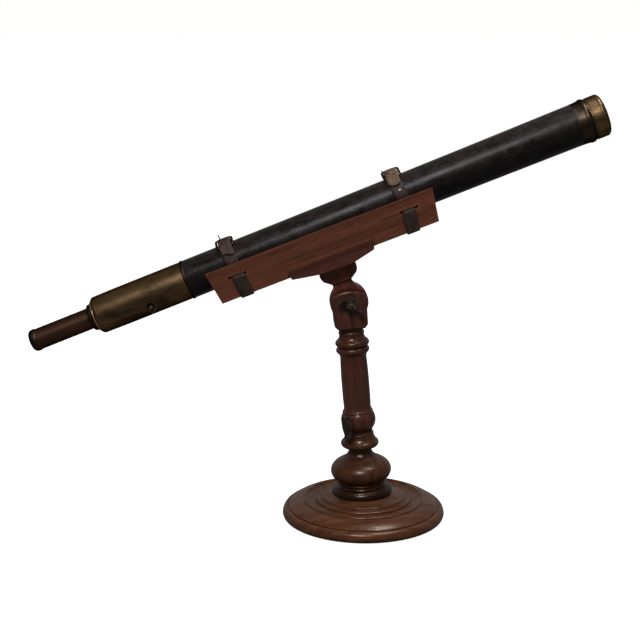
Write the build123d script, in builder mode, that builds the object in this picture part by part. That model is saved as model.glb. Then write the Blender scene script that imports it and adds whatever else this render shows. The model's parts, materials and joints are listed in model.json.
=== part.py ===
from build123d import *

import os
from math import asin, copysign, cos, degrees, pi, radians, sin, sqrt, tan

# Brass telescope strapped into a wooden trough on a turned table stand.
# Frame: millimetres, +Z up, origin at the centre of the stand's underside.
# +X is the way the objective points over the table, and -Y is the near side.

os.makedirs("parts", exist_ok=True)

# ---- driving dimensions ----

# Stand
BASE_RADIUS = 99.0
BAIZE_THICKNESS = 1.5
BASE_TOP = 30.5
PEDESTAL_FOOT = (-1.4, 0.0, 24.9)
PEDESTAL_LEAN = 2.8
PEDESTAL_HEIGHT = 84.1
PILLAR_LEAN = 4.8
PIVOT_HEIGHT = 160.8
TENON_RADIUS = 12.0
SPINDLE_RADIUS = 6.0
SPINDLE_IN_PEDESTAL = 32.0
SPINDLE_IN_PILLAR = 40.0
THUMB_AT = 16.5
THUMB_SIDE = 33.0

# Knuckle
FORK_DEPTH = 40.0
SLOT_WIDTH = 16.2
TONGUE_THICKNESS = 15.9
TONGUE_RADIUS = 22.9
TONGUE_PITCH = 19.3
TONGUE_TOP = 48.5
BOLT_RADIUS = 3.2

# Trough
TROUGH_PITCH = 20.8
TROUGH_MIDDLE = -3.5
TROUGH_BOTTOM = 57.0
TROUGH_HEIGHT = 39.0
TROUGH_HALF_TOP = 139.7
TROUGH_HALF_BOTTOM = 134.0
TROUGH_INSIDE = 51.6
TROUGH_WALL = 6.0
TROUGH_FLOOR = 8.0
SLOT_SPACING = 211.6
STRAP_WIDTH = 16.0
STRAP_THICKNESS = 1.9
STRAP_GAP = 0.12
SLOT_LENGTH = 22.5
SLOT_OUTER = 81.3
SLOT_INNER = 85.5

# Telescope, stations measured along the tube from the point over the pivot
TUBE_PITCH = 21.55
TUBE_OVER_PIVOT = 95.3
EYE_END = -366.7
DRAW_START = -357.7
GLAND_START = -290.6
TAIL_START = -284.1
TAIL_END = -168.9
BARREL_START = -164.9
BARREL_END = 321.0
CELL_START = 337.6
FRONT_END = 355.6
DRAW_RADIUS = 12.7
DRAW_WALL = 0.8
TAIL_RADIUS = 22.8
BARREL_RADII = (23.1, 23.7, 24.9)
BARREL_MIDDLE = 150.0
SLEEVE_THICKNESS = 1.0
TUBE_WALL = 1.2
LENS_RADIUS = 22.0

# Rack and pinion
MODULE = 0.6
PINION_TEETH = 10
PINION_AT = -216.7
FOCUS_ROLL = 18.3
RACK_WIDTH = 4.0
RACK_BACK = 0.5
RACK_DEDENDUM = 0.75
RACK_ADDENDUM = 0.35
BACKLASH = 0.12
RECESS_RADIUS = 5.0
BUSH_FACE = 10.0
BUSH_BACK = 5.2

RUNNING = 0.06
LOOSE = 0.1


# ---- frames and helpers ----


def tilted(origin, pitch):
    """Plane in XZ whose x rises at pitch degrees from +X, and whose y stands square to it."""
    turn = radians(pitch)
    return Plane(origin=origin, x_dir=(cos(turn), 0, sin(turn)), z_dir=(0, -1, 0))


def point_on(plane, along, up):
    """World point at (along, up) on a tilted plane."""
    return plane.from_local_coords((along, up, 0))


def across(plane, along, up=0.0):
    """Plane square to a tilted plane's x: its own x is +Y and its own y is the plane's y."""
    return Plane(origin=point_on(plane, along, up), x_dir=(0, 1, 0), z_dir=plane.x_dir)


def upward(plane, up, along=0.0):
    """Plane square to a tilted plane's y, facing up it."""
    return Plane(origin=point_on(plane, along, up), x_dir=plane.x_dir, z_dir=plane.y_dir)


def finish(piece, name):
    piece.part.label = name
    export_step(piece.part, f"parts/{name}.step")


pedestal_frame = tilted(PEDESTAL_FOOT, PEDESTAL_LEAN)
pillar_frame = tilted(point_on(pedestal_frame, 0, PEDESTAL_HEIGHT), PILLAR_LEAN)
pivot = point_on(pillar_frame, 0, PIVOT_HEIGHT)
knuckle_frame = tilted(pivot, TONGUE_PITCH)
trough_frame = tilted(pivot, TROUGH_PITCH)
tube_frame = tilted(point_on(tilted(pivot, TUBE_PITCH), 0, TUBE_OVER_PIVOT), TUBE_PITCH)

pedestal_axis = Axis(pedestal_frame.origin, pedestal_frame.y_dir)
pillar_axis = Axis(pillar_frame.origin, pillar_frame.y_dir)
tube_axis = Axis(tube_frame.origin, tube_frame.x_dir)
bolt_axis = Axis(pivot, (0, -1, 0))

# The focusing gear is rolled about the tube, so that its rack lies below and to the near side.
roll = radians(FOCUS_ROLL)
focus_frame = Plane(
    origin=tube_frame.origin,
    x_dir=tube_frame.x_dir,
    z_dir=tube_frame.z_dir * cos(roll) + tube_frame.y_dir * sin(roll),
)


def barrel_radius(station):
    """Outer radius of the covered barrel, a gentle curve through its three driving radii."""
    low, middle, high = BARREL_RADII
    a, b, c = BARREL_START, BARREL_MIDDLE, BARREL_END
    return (
        low * (station - b) * (station - c) / ((a - b) * (a - c))
        + middle * (station - a) * (station - c) / ((b - a) * (b - c))
        + high * (station - a) * (station - b) / ((c - a) * (c - b))
    )


def dome_point(rim, radius, bulge):
    """Point half way out on a spherical cap of given bulge, whose rim circle stands at rim."""
    sphere = (radius**2 + bulge**2) / (2 * bulge)
    return (rim + bulge - sphere + copysign(sqrt(sphere**2 - radius**2 / 4), sphere), radius / 2)


def ring_profile(start, end, inner, outer):
    """Rectangle between two radii, drawn in the tube's side plane."""
    Polygon((start, inner), (end, inner), (end, outer), (start, outer), align=None)


# ---- stand: base, pedestal and spindle ----

with BuildPart() as baize_pad:
    with BuildSketch(Plane.XY):
        Circle(BASE_RADIUS - 6)
    extrude(amount=BAIZE_THICKNESS)
finish(baize_pad, "baize_pad")

# Height of the underside in the pedestal's frame.
floor = -PEDESTAL_FOOT[2]

with BuildPart() as base_disc:
    with BuildSketch(Plane.XZ):
        with BuildLine():
            Polyline((0, BASE_TOP), (0, BAIZE_THICKNESS), (BASE_RADIUS - 1.2, BAIZE_THICKNESS))
            ThreePointArc((BASE_RADIUS - 1.2, BAIZE_THICKNESS), (BASE_RADIUS, 4.4), (98.4, 8))
            ThreePointArc((98.4, 8), (96.4, 11.8), (93.2, 13.4))
            Polyline((93.2, 13.4), (92.4, 12.5), (91.4, 12.9), (91.2, 14.8))
            ThreePointArc((91.2, 14.8), (83.2, 19.6), (73.5, 21.6))
            ThreePointArc((73.5, 21.6), (71.6, 23.8), (69.8, 21.8))
            ThreePointArc((69.8, 21.8), (64, 20.3), (59.2, 21.5))
            ThreePointArc((59.2, 21.5), (57.8, 24.3), (55.2, 24.1))
            ThreePointArc((55.2, 24.1), (52.8, 23.9), (51.2, 24.6))
            ThreePointArc((51.2, 24.6), (50, 27), (47.8, 26.6))
            ThreePointArc((47.8, 26.6), (42, 28), (36.4, BASE_TOP - 0.4))
            Line((36.4, BASE_TOP - 0.4), (34, BASE_TOP))
            Line((34, BASE_TOP), (0, BASE_TOP))
        make_face()
    revolve(axis=Axis.Z)
    # Mortise for the pedestal's tenon, and the hole for the screw that draws it down.
    with BuildSketch(upward(pedestal_frame, floor + 8)):
        Circle(TENON_RADIUS + LOOSE)
    extrude(amount=BASE_TOP, mode=Mode.SUBTRACT)
    with BuildSketch(upward(pedestal_frame, floor)):
        Circle(2.6)
    extrude(amount=12, mode=Mode.SUBTRACT)
    with BuildSketch(pedestal_frame):
        with BuildLine():
            Polyline((0, floor), (6.4, floor), (6.4, floor + 3.4), (2.6, floor + 7.2))
            Polyline((2.6, floor + 7.2), (0, floor + 7.2), (0, floor))
        make_face()
    revolve(axis=pedestal_axis, mode=Mode.SUBTRACT)
finish(base_disc, "base_disc")

with BuildPart() as base_screw:
    with BuildSketch(pedestal_frame):
        with BuildLine():
            Polyline((0, floor + 2.8), (5.6, floor + 2.8), (5.6, floor + 3.4), (2.4, floor + 6.6))
            Polyline((2.4, floor + 6.6), (2.4, floor + 20), (0, floor + 25), (0, floor + 2.8))
        make_face()
    revolve(axis=pedestal_axis)
    with BuildSketch(upward(pedestal_frame, floor + 2.8)):
        Rectangle(12, 1.2)
    extrude(amount=1.2, mode=Mode.SUBTRACT)
finish(base_screw, "base_screw")

with BuildPart() as pedestal:
    with BuildSketch(pedestal_frame):
        with BuildLine():
            Polyline((0, 87.5), (0, 1.9), (34.3, 1.9))
            ThreePointArc((34.3, 1.9), (36.6, 8.4), (34.1, 13))
            ThreePointArc((34.1, 13), (32.9, 14.5), (31, 15.2))
            ThreePointArc((31, 15.2), (28.2, 16.7), (28.2, 18.7))
            ThreePointArc((28.2, 18.7), (29.5, 19.8), (28.6, 21))
            ThreePointArc((28.6, 21), (30.1, 22.1), (29.6, 23.5))
            bulb_low = [(29.6, 23.5), (34.3, 26.8), (36.8, 35.4), (32.4, 43.8)]
            bulb_high = [(21.9, 50), (15.9, 55), (13.7, 61.9)]
            Spline(*bulb_low, *bulb_high)
            ThreePointArc((13.7, 61.9), (15.5, 62.6), (16.3, 64.2))
            ThreePointArc((16.3, 64.2), (22.4, 66.2), (22.4, 71))
            ThreePointArc((22.4, 71), (19.2, 74.6), (17.4, 79.4))
            ThreePointArc((17.4, 79.4), (17.6, 80.8), (16.2, 82))
            Polyline((16.2, 82), (16.2, 87.5), (0, 87.5))
        make_face()
    revolve(axis=pedestal_axis)
    # The foot is cut level where it stands on the base, and the top square to the leaning pillar.
    split(bisect_by=Plane.XY.offset(BASE_TOP), keep=Keep.TOP)
    split(bisect_by=upward(pillar_frame, 0), keep=Keep.BOTTOM)
    with BuildSketch(upward(pedestal_frame, floor + 9)):
        Circle(TENON_RADIUS)
    extrude(amount=BASE_TOP)
    with BuildSketch(upward(pedestal_frame, floor + 5)):
        Circle(2.42)
    extrude(amount=20.5, mode=Mode.SUBTRACT)
    with BuildSketch(upward(pillar_frame, -SPINDLE_IN_PEDESTAL)):
        Circle(SPINDLE_RADIUS + 0.02)
    extrude(amount=SPINDLE_IN_PEDESTAL + 5, mode=Mode.SUBTRACT)
finish(pedestal, "pedestal")

with BuildPart() as swivel_spindle:
    with BuildSketch(upward(pillar_frame, -SPINDLE_IN_PEDESTAL)):
        Circle(SPINDLE_RADIUS)
    extrude(amount=SPINDLE_IN_PEDESTAL + SPINDLE_IN_PILLAR)
    chamfer(swivel_spindle.edges().group_by(pillar_axis)[-1], 1)
    # Groove that the thumbscrew's tip beds in.
    with BuildSketch(pillar_frame):
        with BuildLine():
            Polyline((5, THUMB_AT + 1.6), (5, THUMB_AT - 1.6), (7, THUMB_AT - 3.6))
            Polyline((7, THUMB_AT - 3.6), (7, THUMB_AT + 3.6), (5, THUMB_AT + 1.6))
        make_face()
    revolve(axis=pillar_axis, mode=Mode.SUBTRACT)
finish(swivel_spindle, "swivel_spindle")

with BuildPart() as spindle_washer:
    with BuildSketch(upward(pillar_frame, 0.02)):
        Circle(14.4)
        Circle(SPINDLE_RADIUS + 0.2, mode=Mode.SUBTRACT)
    extrude(amount=0.9)
finish(spindle_washer, "spindle_washer")

# ---- swivelling pillar with its fork ----

thumb_turn = radians(THUMB_SIDE)
thumb_axis_dir = pillar_frame.z_dir * cos(thumb_turn) - pillar_frame.x_dir * sin(thumb_turn)
thumb_frame = Plane(
    origin=point_on(pillar_frame, 0, THUMB_AT),
    x_dir=pillar_frame.x_dir * cos(thumb_turn) + pillar_frame.z_dir * sin(thumb_turn),
    z_dir=thumb_axis_dir,
)

CHEEK_TOP = PIVOT_HEIGHT + 15.5
SLOT_FLOOR = PIVOT_HEIGHT - 24.5

with BuildPart() as pillar:
    with BuildSketch(pillar_frame):
        with BuildLine():
            Polyline((0, 137.3), (0, 1), (15, 1))
            ThreePointArc((15, 1), (20.9, 12.8), (17.9, 23.9))
            ThreePointArc((17.9, 23.9), (18.5, 24.9), (17.7, 25.9))
            ThreePointArc((17.7, 25.9), (16.6, 28.4), (16.4, 32.4))
            ThreePointArc((16.4, 32.4), (16.7, 60.8), (15.9, 92.2))
            ThreePointArc((15.9, 92.2), (16.4, 95.4), (18, 98))
            ThreePointArc((18, 98), (20.1, 101.6), (18.1, 105.2))
            Line((18.1, 105.2), (17.4, 105.8))
            Line((17.4, 105.8), (18.1, 106.4))
            ThreePointArc((18.1, 106.4), (20.4, 110.2), (18.2, 113.9))
            ThreePointArc((18.2, 113.9), (15.6, 117.2), (14.9, 121))
            ThreePointArc((14.9, 121), (15.6, 122.8), (14.7, 124.5))
            ThreePointArc((14.7, 124.5), (14.3, 128), (15.2, 131.4))
            Polyline((15.2, 131.4), (15.2, 137.3), (0, 137.3))
        make_face()
    revolve(axis=pillar_axis)
    with BuildSketch(pillar_frame):
        with BuildLine():
            cheek = [(16, 130), (19.8, 134.6), (20.1, 152), (20.9, CHEEK_TOP - 10), (18.5, CHEEK_TOP - 5)]
            mirrored = [(-x, y) for x, y in cheek]
            Line(mirrored[0], cheek[0])
            Polyline(*cheek)
            ThreePointArc(cheek[-1], (0, CHEEK_TOP), mirrored[-1])
            Polyline(*mirrored[::-1])
        make_face()
    extrude(amount=FORK_DEPTH / 2, both=True)
    far_rims = pillar.edges().group_by(Axis.Y)[-1]
    near_rims = pillar.edges().group_by(Axis.Y)[0]
    fillet(far_rims + near_rims, 2.4)
    # Slot with a rounded floor for the tongue, then the bolt and spindle holes.
    with BuildSketch(pillar_frame):
        with Locations((0, PIVOT_HEIGHT)):
            Circle(PIVOT_HEIGHT - SLOT_FLOOR)
        with Locations((0, PIVOT_HEIGHT + 15)):
            Rectangle(2 * (PIVOT_HEIGHT - SLOT_FLOOR), 30)
    extrude(amount=SLOT_WIDTH / 2, both=True, mode=Mode.SUBTRACT)
    with BuildSketch(pillar_frame):
        with Locations((0, PIVOT_HEIGHT)):
            Circle(BOLT_RADIUS + RUNNING)
    extrude(amount=FORK_DEPTH, both=True, mode=Mode.SUBTRACT)
    with BuildSketch(upward(pillar_frame, 0)):
        Circle(SPINDLE_RADIUS + RUNNING)
    extrude(amount=SPINDLE_IN_PILLAR + 1, mode=Mode.SUBTRACT)
    with BuildSketch(thumb_frame):
        Circle(4.52)
    extrude(amount=30, mode=Mode.SUBTRACT)
finish(pillar, "pillar")

with BuildPart() as thumb_bush:
    with BuildSketch(thumb_frame.offset(6.6)):
        Circle(4.5)
        Circle(2.56, mode=Mode.SUBTRACT)
    extrude(amount=13)
finish(thumb_bush, "thumb_bush")

with BuildPart() as thumbscrew:
    with BuildSketch(thumb_frame.offset(5.3)):
        Circle(1.5)
    extrude(amount=3)
    with BuildSketch(thumb_frame.offset(7.3)):
        Circle(2.5)
    extrude(amount=19)
    with BuildSketch(thumb_frame.offset(24.4)):
        Circle(4.4)
    extrude(amount=2)
    # The flat leaf hangs from the shank's end.
    with BuildSketch(thumb_frame.offset(26)):
        with BuildLine():
            ThreePointArc((0, 6.4), (-4, 9), (-7.4, 5))
            Polyline((-7.4, 5), (-6.8, -6), (-4, -17))
            ThreePointArc((-4, -17), (0.4, -20.8), (4.4, -17))
            Polyline((4.4, -17), (7, -6), (7.4, 5))
            ThreePointArc((7.4, 5), (4, 9), (0, 6.4))
        make_face()
    extrude(amount=3.2)
    fillet(thumbscrew.edges().group_by(Axis(thumb_frame.origin, thumb_frame.z_dir))[-1], 1.1)
finish(thumbscrew, "thumbscrew")

# ---- knuckle bolt, washers and wing nut ----

near_face = FORK_DEPTH / 2

with BuildPart() as pivot_bolt:
    bolt_tail = Plane(origin=pivot, x_dir=pillar_frame.x_dir, z_dir=(0, -1, 0))
    with BuildSketch(bolt_tail.offset(-near_face - 1.7)):
        Circle(BOLT_RADIUS)
    extrude(amount=2 * near_face + 1.7 + 15)
    chamfer(pivot_bolt.edges().group_by(Axis.Y)[0], 0.8)
    # Low domed head on the far side.
    with BuildSketch(Plane(origin=pivot + (0, near_face + 1.7, 0), x_dir=(1, 0, 0), z_dir=(0, 0, 1))):
        with BuildLine():
            Polyline((0, 4.6), (0, 0), (8, 0), (8, 1))
            ThreePointArc((8, 1), dome_point(1, 8, 3.6)[::-1], (0, 4.6))
        make_face()
    revolve(axis=bolt_axis)
finish(pivot_bolt, "pivot_bolt")

for washer_name, washer_face in (("bolt_washer", -near_face - 1.62), ("nut_washer", near_face + 0.02)):
    with BuildPart() as washer:
        with BuildSketch(Plane(origin=pivot, x_dir=(1, 0, 0), z_dir=(0, -1, 0)).offset(washer_face)):
            Circle(9.6)
            Circle(BOLT_RADIUS + 0.1, mode=Mode.SUBTRACT)
        extrude(amount=1.6)
        chamfer(washer.edges().group_by(Axis.Y)[-1].sort_by(SortBy.LENGTH)[-1:], 0.4)
    finish(washer, washer_name)

# The wings rise to the left and fall to the right, as they were left when the nut was tightened.
WING_TURN = -27.0
WING_SPAN = 35.0
nut_frame = Plane(
    origin=pivot + (0, -near_face - 1.75, 0),
    x_dir=(cos(radians(WING_TURN)), 0, sin(radians(WING_TURN))),
    z_dir=(0, -1, 0),
)

with BuildPart() as wing_nut:
    with BuildSketch(nut_frame):
        Circle(6.4)
    extrude(amount=8.5, taper=10)
    # Each wing is a flat ear that leans out and away from the fork.
    for hand in (-1, 1):
        outward = nut_frame.x_dir * hand
        ear_frame = Plane(origin=nut_frame.origin, x_dir=outward, z_dir=nut_frame.y_dir * -hand)
        with BuildSketch(ear_frame):
            with BuildLine():
                Line((3, 1.2), (6, 1.2))
                ThreePointArc((6, 1.2), (10.2, 3), (13.2, 6.2))
                ThreePointArc((13.2, 6.2), (WING_SPAN / 2, 9.4), (15.4, 13.6))
                ThreePointArc((15.4, 13.6), (12, 13.4), (9.6, 11))
                ThreePointArc((9.6, 11), (7.4, 8.4), (3, 7.4))
                Line((3, 7.4), (3, 1.2))
            make_face()
        extrude(amount=1.5, both=True)
    high_edges = wing_nut.edges().filter_by(lambda e: nut_frame.to_local_coords(e.center()).Z > 9.4)
    fillet(high_edges.filter_by(lambda e: abs(nut_frame.to_local_coords(e.center()).X) > 8), 0.5)
    with BuildSketch(nut_frame):
        Circle(BOLT_RADIUS + RUNNING)
    extrude(amount=12, mode=Mode.SUBTRACT)
finish(wing_nut, "wing_nut")

# ---- tongue and saddle, which carry the trough ----

with BuildPart() as tongue:
    with BuildSketch(knuckle_frame):
        with BuildLine():
            ThreePointArc((-13.2, 18.7), (0, -TONGUE_RADIUS), (13.2, 18.7))
            Spline((13.2, 18.7), (11.7, 22.8), (13.2, 28), tangents=((-0.5, 1), (0.8, 1)))
            Line((13.2, 28), (-13.2, 28))
            Spline((-13.2, 28), (-11.7, 22.8), (-13.2, 18.7), tangents=((0.8, -1), (-0.5, -1)))
        make_face()
    extrude(amount=TONGUE_THICKNESS / 2, both=True)
    with BuildSketch(knuckle_frame):
        with BuildLine():
            head = [(13.2, 27.9), (20.4, 33.6), (22.8, 41), (20.4, TONGUE_TOP)]
            mirrored = [(-x, y) for x, y in head[::-1]]
            Spline(*head, tangents=((1, 1), (-0.6, 1)))
            Line(head[-1], mirrored[0])
            Spline(*mirrored, tangents=((-0.6, -1), (1, -1)))
            Line(mirrored[-1], head[0])
        make_face()
    extrude(amount=12.5, both=True)
    with BuildSketch(knuckle_frame):
        Circle(BOLT_RADIUS + RUNNING)
    extrude(amount=FORK_DEPTH, both=True, mode=Mode.SUBTRACT)
    for along in (-11, 11):
        with BuildSketch(upward(knuckle_frame, TONGUE_TOP - 18, along)):
            Circle(2.02)
        extrude(amount=20, mode=Mode.SUBTRACT)
finish(tongue, "tongue")

SADDLE_WIDTH = TROUGH_INSIDE + 2 * TROUGH_WALL + 6.4
SADDLE_LAP = 6.0
trough_outside = TROUGH_INSIDE + 2 * TROUGH_WALL
tongue_screw_places = (-11, 11)
saddle_screw_places = [(along, side) for along in (-36, 30) for side in (-18, 18)]

with BuildPart() as saddle_block:
    with BuildSketch(knuckle_frame):
        with BuildLine():
            Polyline((-58, 69), (-53.2, 53.2), (-22.8, TONGUE_TOP), (20.8, TONGUE_TOP))
            Polyline((20.8, TONGUE_TOP), (47.8, 55.1), (52, 69), (-58, 69))
        make_face()
    extrude(amount=SADDLE_WIDTH / 2, both=True)
    # Everything above the lap line goes, then the channel that the trough sits in.
    with BuildSketch(trough_frame):
        with Locations((0, TROUGH_BOTTOM + SADDLE_LAP + 20)):
            Rectangle(200, 40)
    extrude(amount=SADDLE_WIDTH, both=True, mode=Mode.SUBTRACT)
    with BuildSketch(trough_frame):
        with Locations((0, TROUGH_BOTTOM + 20)):
            Rectangle(200, 40)
    extrude(amount=trough_outside / 2 + 0.05, both=True, mode=Mode.SUBTRACT)
    for along in tongue_screw_places:
        with Locations(upward(knuckle_frame, TONGUE_TOP + 7.3, along)):
            CounterSinkHole(2.1, 4.6, depth=20, counter_sink_angle=90)
    for along, side in saddle_screw_places:
        screw_plane = upward(trough_frame, TROUGH_BOTTOM - 4.6, along)
        with BuildSketch(screw_plane):
            with Locations((0, side)):
                Circle(1.8)
        extrude(amount=20, mode=Mode.SUBTRACT)
        with BuildSketch(screw_plane.offset(-8)):
            with Locations((0, side)):
                Circle(3.9)
        extrude(amount=8, mode=Mode.SUBTRACT)
finish(saddle_block, "saddle_block")

with BuildPart() as tongue_screws:
    for along in tongue_screw_places:
        with BuildSketch(knuckle_frame):
            with BuildLine():
                Polyline(
                    (along, TONGUE_TOP + 7.0),
                    (along + 4.2, TONGUE_TOP + 7.0),
                    (along + 1.98, TONGUE_TOP + 4.8),
                    (along + 1.98, TONGUE_TOP - 14),
                    (along, TONGUE_TOP - 17.6),
                    close=True,
                )
            make_face()
        revolve(axis=Axis(point_on(knuckle_frame, along, 0), knuckle_frame.y_dir))
finish(tongue_screws, "tongue_screws")

with BuildPart() as saddle_screws:
    for along, side in saddle_screw_places:
        screw_plane = upward(trough_frame, TROUGH_BOTTOM - 4.65, along)
        with BuildSketch(screw_plane.offset(-2)):
            with Locations((0, side)):
                Circle(3.6)
        extrude(amount=2)
        with BuildSketch(screw_plane):
            with Locations((0, side)):
                Circle(1.7)
        extrude(amount=10.2)
finish(saddle_screws, "saddle_screws")

# ---- trough: floor and two sides ----


def trough_side_profile():
    """Outline of the whole trough from the side, with both ends cut back underneath."""
    top = TROUGH_BOTTOM + TROUGH_HEIGHT
    Polygon(
        (TROUGH_MIDDLE - TROUGH_HALF_TOP, top),
        (TROUGH_MIDDLE - TROUGH_HALF_BOTTOM, TROUGH_BOTTOM),
        (TROUGH_MIDDLE + TROUGH_HALF_BOTTOM, TROUGH_BOTTOM),
        (TROUGH_MIDDLE + TROUGH_HALF_TOP, top),
        align=None,
    )


inside = TROUGH_INSIDE / 2

with BuildPart() as trough_floor:
    with BuildSketch(trough_frame):
        trough_side_profile()
    extrude(amount=inside - 0.02, both=True)
    with BuildSketch(trough_frame):
        with Locations((0, TROUGH_BOTTOM + TROUGH_FLOOR + 30)):
            Rectangle(400, 60)
    extrude(amount=inside + 5, both=True, mode=Mode.SUBTRACT)
    for along, side in saddle_screw_places:
        with BuildSketch(upward(trough_frame, TROUGH_BOTTOM - 1, along)):
            with Locations((0, side)):
                Circle(1.74)
        extrude(amount=7, mode=Mode.SUBTRACT)
finish(trough_floor, "trough_floor")

slot_places = [TROUGH_MIDDLE - SLOT_SPACING / 2, TROUGH_MIDDLE + SLOT_SPACING / 2]

for side_name, hand in (("near", 1), ("far", -1)):
    with BuildPart() as trough_side:
        with BuildSketch(trough_frame.offset(hand * inside)):
            trough_side_profile()
        extrude(amount=hand * TROUGH_WALL)
        # A scratched line runs just under the top edge.
        with BuildSketch(trough_frame.offset(hand * (inside + TROUGH_WALL))):
            with Locations((TROUGH_MIDDLE, TROUGH_BOTTOM + TROUGH_HEIGHT - 8)):
                Rectangle(300, 0.8)
        extrude(amount=-hand * 0.5, mode=Mode.SUBTRACT)
        # Sloping strap slots.
        for place in slot_places:
            with BuildSketch(across(trough_frame, place - SLOT_LENGTH / 2)):
                with BuildLine():
                    y_in = -hand * (inside - 1)
                    y_out = -hand * (inside + TROUGH_WALL + 1)
                    Polyline(
                        (y_in, SLOT_INNER + 2.3),
                        (y_in, SLOT_INNER - 1.3),
                        (y_out, SLOT_OUTER - 1.9),
                        (y_out, SLOT_OUTER + 1.7),
                        close=True,
                    )
                make_face()
            extrude(amount=SLOT_LENGTH, mode=Mode.SUBTRACT)
    finish(trough_side, f"trough_side_{side_name}")

# ---- rests, straps, buckles ----


def tube_centre_height(place):
    """Height of the tube's centre over the pivot, in the trough's frame, at a place along it."""
    skew = radians(TUBE_PITCH - TROUGH_PITCH)
    return TUBE_OVER_PIVOT / cos(skew) + place * tan(skew)


def tube_station(place):
    """Station along the tube over a place along the trough."""
    skew = radians(TUBE_PITCH - TROUGH_PITCH)
    return place / cos(skew) + TUBE_OVER_PIVOT * tan(skew)


REST_LENGTH = 22.0

for rest_name, place in (("rear_rest", slot_places[0]), ("front_rest", slot_places[1])):
    floor_top = TROUGH_BOTTOM + TROUGH_FLOOR
    with BuildPart() as rest:
        with BuildSketch(across(trough_frame, place - REST_LENGTH / 2)):
            with Locations((0, floor_top + 0.02)):
                Rectangle(30, 14, align=(Align.CENTER, Align.MIN))
        extrude(amount=REST_LENGTH)
        with BuildSketch(across(tube_frame, tube_station(place) - REST_LENGTH)):
            Circle(barrel_radius(tube_station(place) + REST_LENGTH / 2) + 0.05)
        extrude(amount=2 * REST_LENGTH, mode=Mode.SUBTRACT)
    finish(rest, rest_name)

BUCKLE_LENGTH = 22.0
BUCKLE_REACH = 17.0
BUCKLE_WIRE = 2.0
BUCKLE_TILT = 20.0
PRONG_RADIUS = 0.9
PRONG_LENGTH = 15.0
PRONG_EYE = BUCKLE_WIRE / 2 + 0.5 + 2 * PRONG_RADIUS

strap_outside = inside + TROUGH_WALL + STRAP_GAP + STRAP_THICKNESS / 2
strap_under = TROUGH_BOTTOM - STRAP_GAP - STRAP_THICKNESS / 2
TIP_GAP = 8.4
TIP_LENGTH = 13.0
RIVET_BELOW_TIP = 3.4
# Places along the trough of each strap, of its buckle and of its prong, and the buckle's
# near bar's distance to the near side of the tube's crown.
STRAPS = {"rear": (-111.0, -111.5, -113.0, 14.0), "front": (99.2, 98.6, 100.2, 10.0)}


def strap_radius(place):
    """Radius of the strap's middle line where it lies on the barrel."""
    return barrel_radius(tube_station(place) - STRAP_WIDTH / 2) + STRAP_GAP + 0.25 + STRAP_THICKNESS / 2


def bar_circle(place):
    """Distance of the buckle's near bar from the tube's centre, just clear of the strap."""
    return strap_radius(place) + (STRAP_THICKNESS + BUCKLE_WIRE) / 2 + 0.1


def bar_height(place, aside):
    """Height of the buckle's near bar over the pivot, in the trough's frame."""
    return tube_centre_height(place) + sqrt(bar_circle(place) ** 2 - aside**2)


def tip_turn(place, aside):
    """Angle in degrees at which the strap's free tip starts, counted from the far side over the top."""
    return 90 + degrees(asin(aside / bar_circle(place))) + TIP_GAP


def strap_path(place, grow):
    """The strap's closed outline in section, moved outward by grow."""
    centre = tube_centre_height(place)
    radius = strap_radius(place)
    with BuildLine() as outline:
        ThreePointArc((-radius, centre), (0, centre + radius), (radius, centre))
        Polyline(
            (radius, centre),
            (radius, SLOT_INNER + 0.6),
            (strap_outside, SLOT_OUTER - 0.8),
            (strap_outside, strap_under),
            (-strap_outside, strap_under),
            (-strap_outside, SLOT_OUTER - 0.8),
            (-radius, SLOT_INNER + 0.6),
            (-radius, centre),
        )
    make_face(outline.edges())
    offset(amount=grow)


for end_name, (place, _, prong_place, aside) in STRAPS.items():
    radius = strap_radius(place)
    with BuildPart() as strap:
        with BuildSketch(across(trough_frame, place - STRAP_WIDTH / 2)):
            strap_path(place, STRAP_THICKNESS / 2)
        extrude(amount=STRAP_WIDTH)
        with BuildSketch(across(trough_frame, place - STRAP_WIDTH / 2)):
            strap_path(place, -STRAP_THICKNESS / 2)
        extrude(amount=STRAP_WIDTH, mode=Mode.SUBTRACT)
        # The free tip lies over the strap on the near side, below the buckle.
        with BuildSketch(across(trough_frame, place - STRAP_WIDTH / 2, tube_centre_height(place))):
            with BuildLine():
                low = radians(tip_turn(place, aside))
                high = low + TIP_LENGTH / radius
                r_in = radius + STRAP_THICKNESS / 2 - 0.02
                r_out = r_in + STRAP_THICKNESS
                turns = (low, (low + high) / 2, high)
                inner = [(r_in * cos(t), r_in * sin(t)) for t in turns]
                outer = [(r_out * cos(t), r_out * sin(t)) for t in turns]
                ThreePointArc(*inner)
                Line(inner[2], outer[2])
                ThreePointArc(*outer[::-1])
                Line(outer[0], inner[0])
            make_face()
        extrude(amount=STRAP_WIDTH)
        # Slot that the prong's eye swings in.
        with BuildSketch(across(trough_frame, prong_place - PRONG_RADIUS - 0.3)):
            with Locations((-aside, bar_height(place, aside))):
                Circle(PRONG_EYE + 0.3)
        extrude(amount=2 * PRONG_RADIUS + 0.6, mode=Mode.SUBTRACT)
    finish(strap, f"{end_name}_strap")


def buckle_frame_at(along, height, aside):
    """Plane of a buckle: x along the tube, y over it to the far side, tipped up from the near bar."""
    near_bar = trough_frame.from_local_coords((along, height, aside))
    tip = radians(BUCKLE_TILT)
    normal = trough_frame.y_dir * cos(tip) + trough_frame.z_dir * sin(tip)
    return Plane(origin=near_bar, x_dir=trough_frame.x_dir, z_dir=normal)


# Lift of each prong out of its buckle's plane, and its swing to the left.
PRONG_POSES = {"rear": (34.0, 8.0), "front": (28.0, 48.0)}

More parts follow.
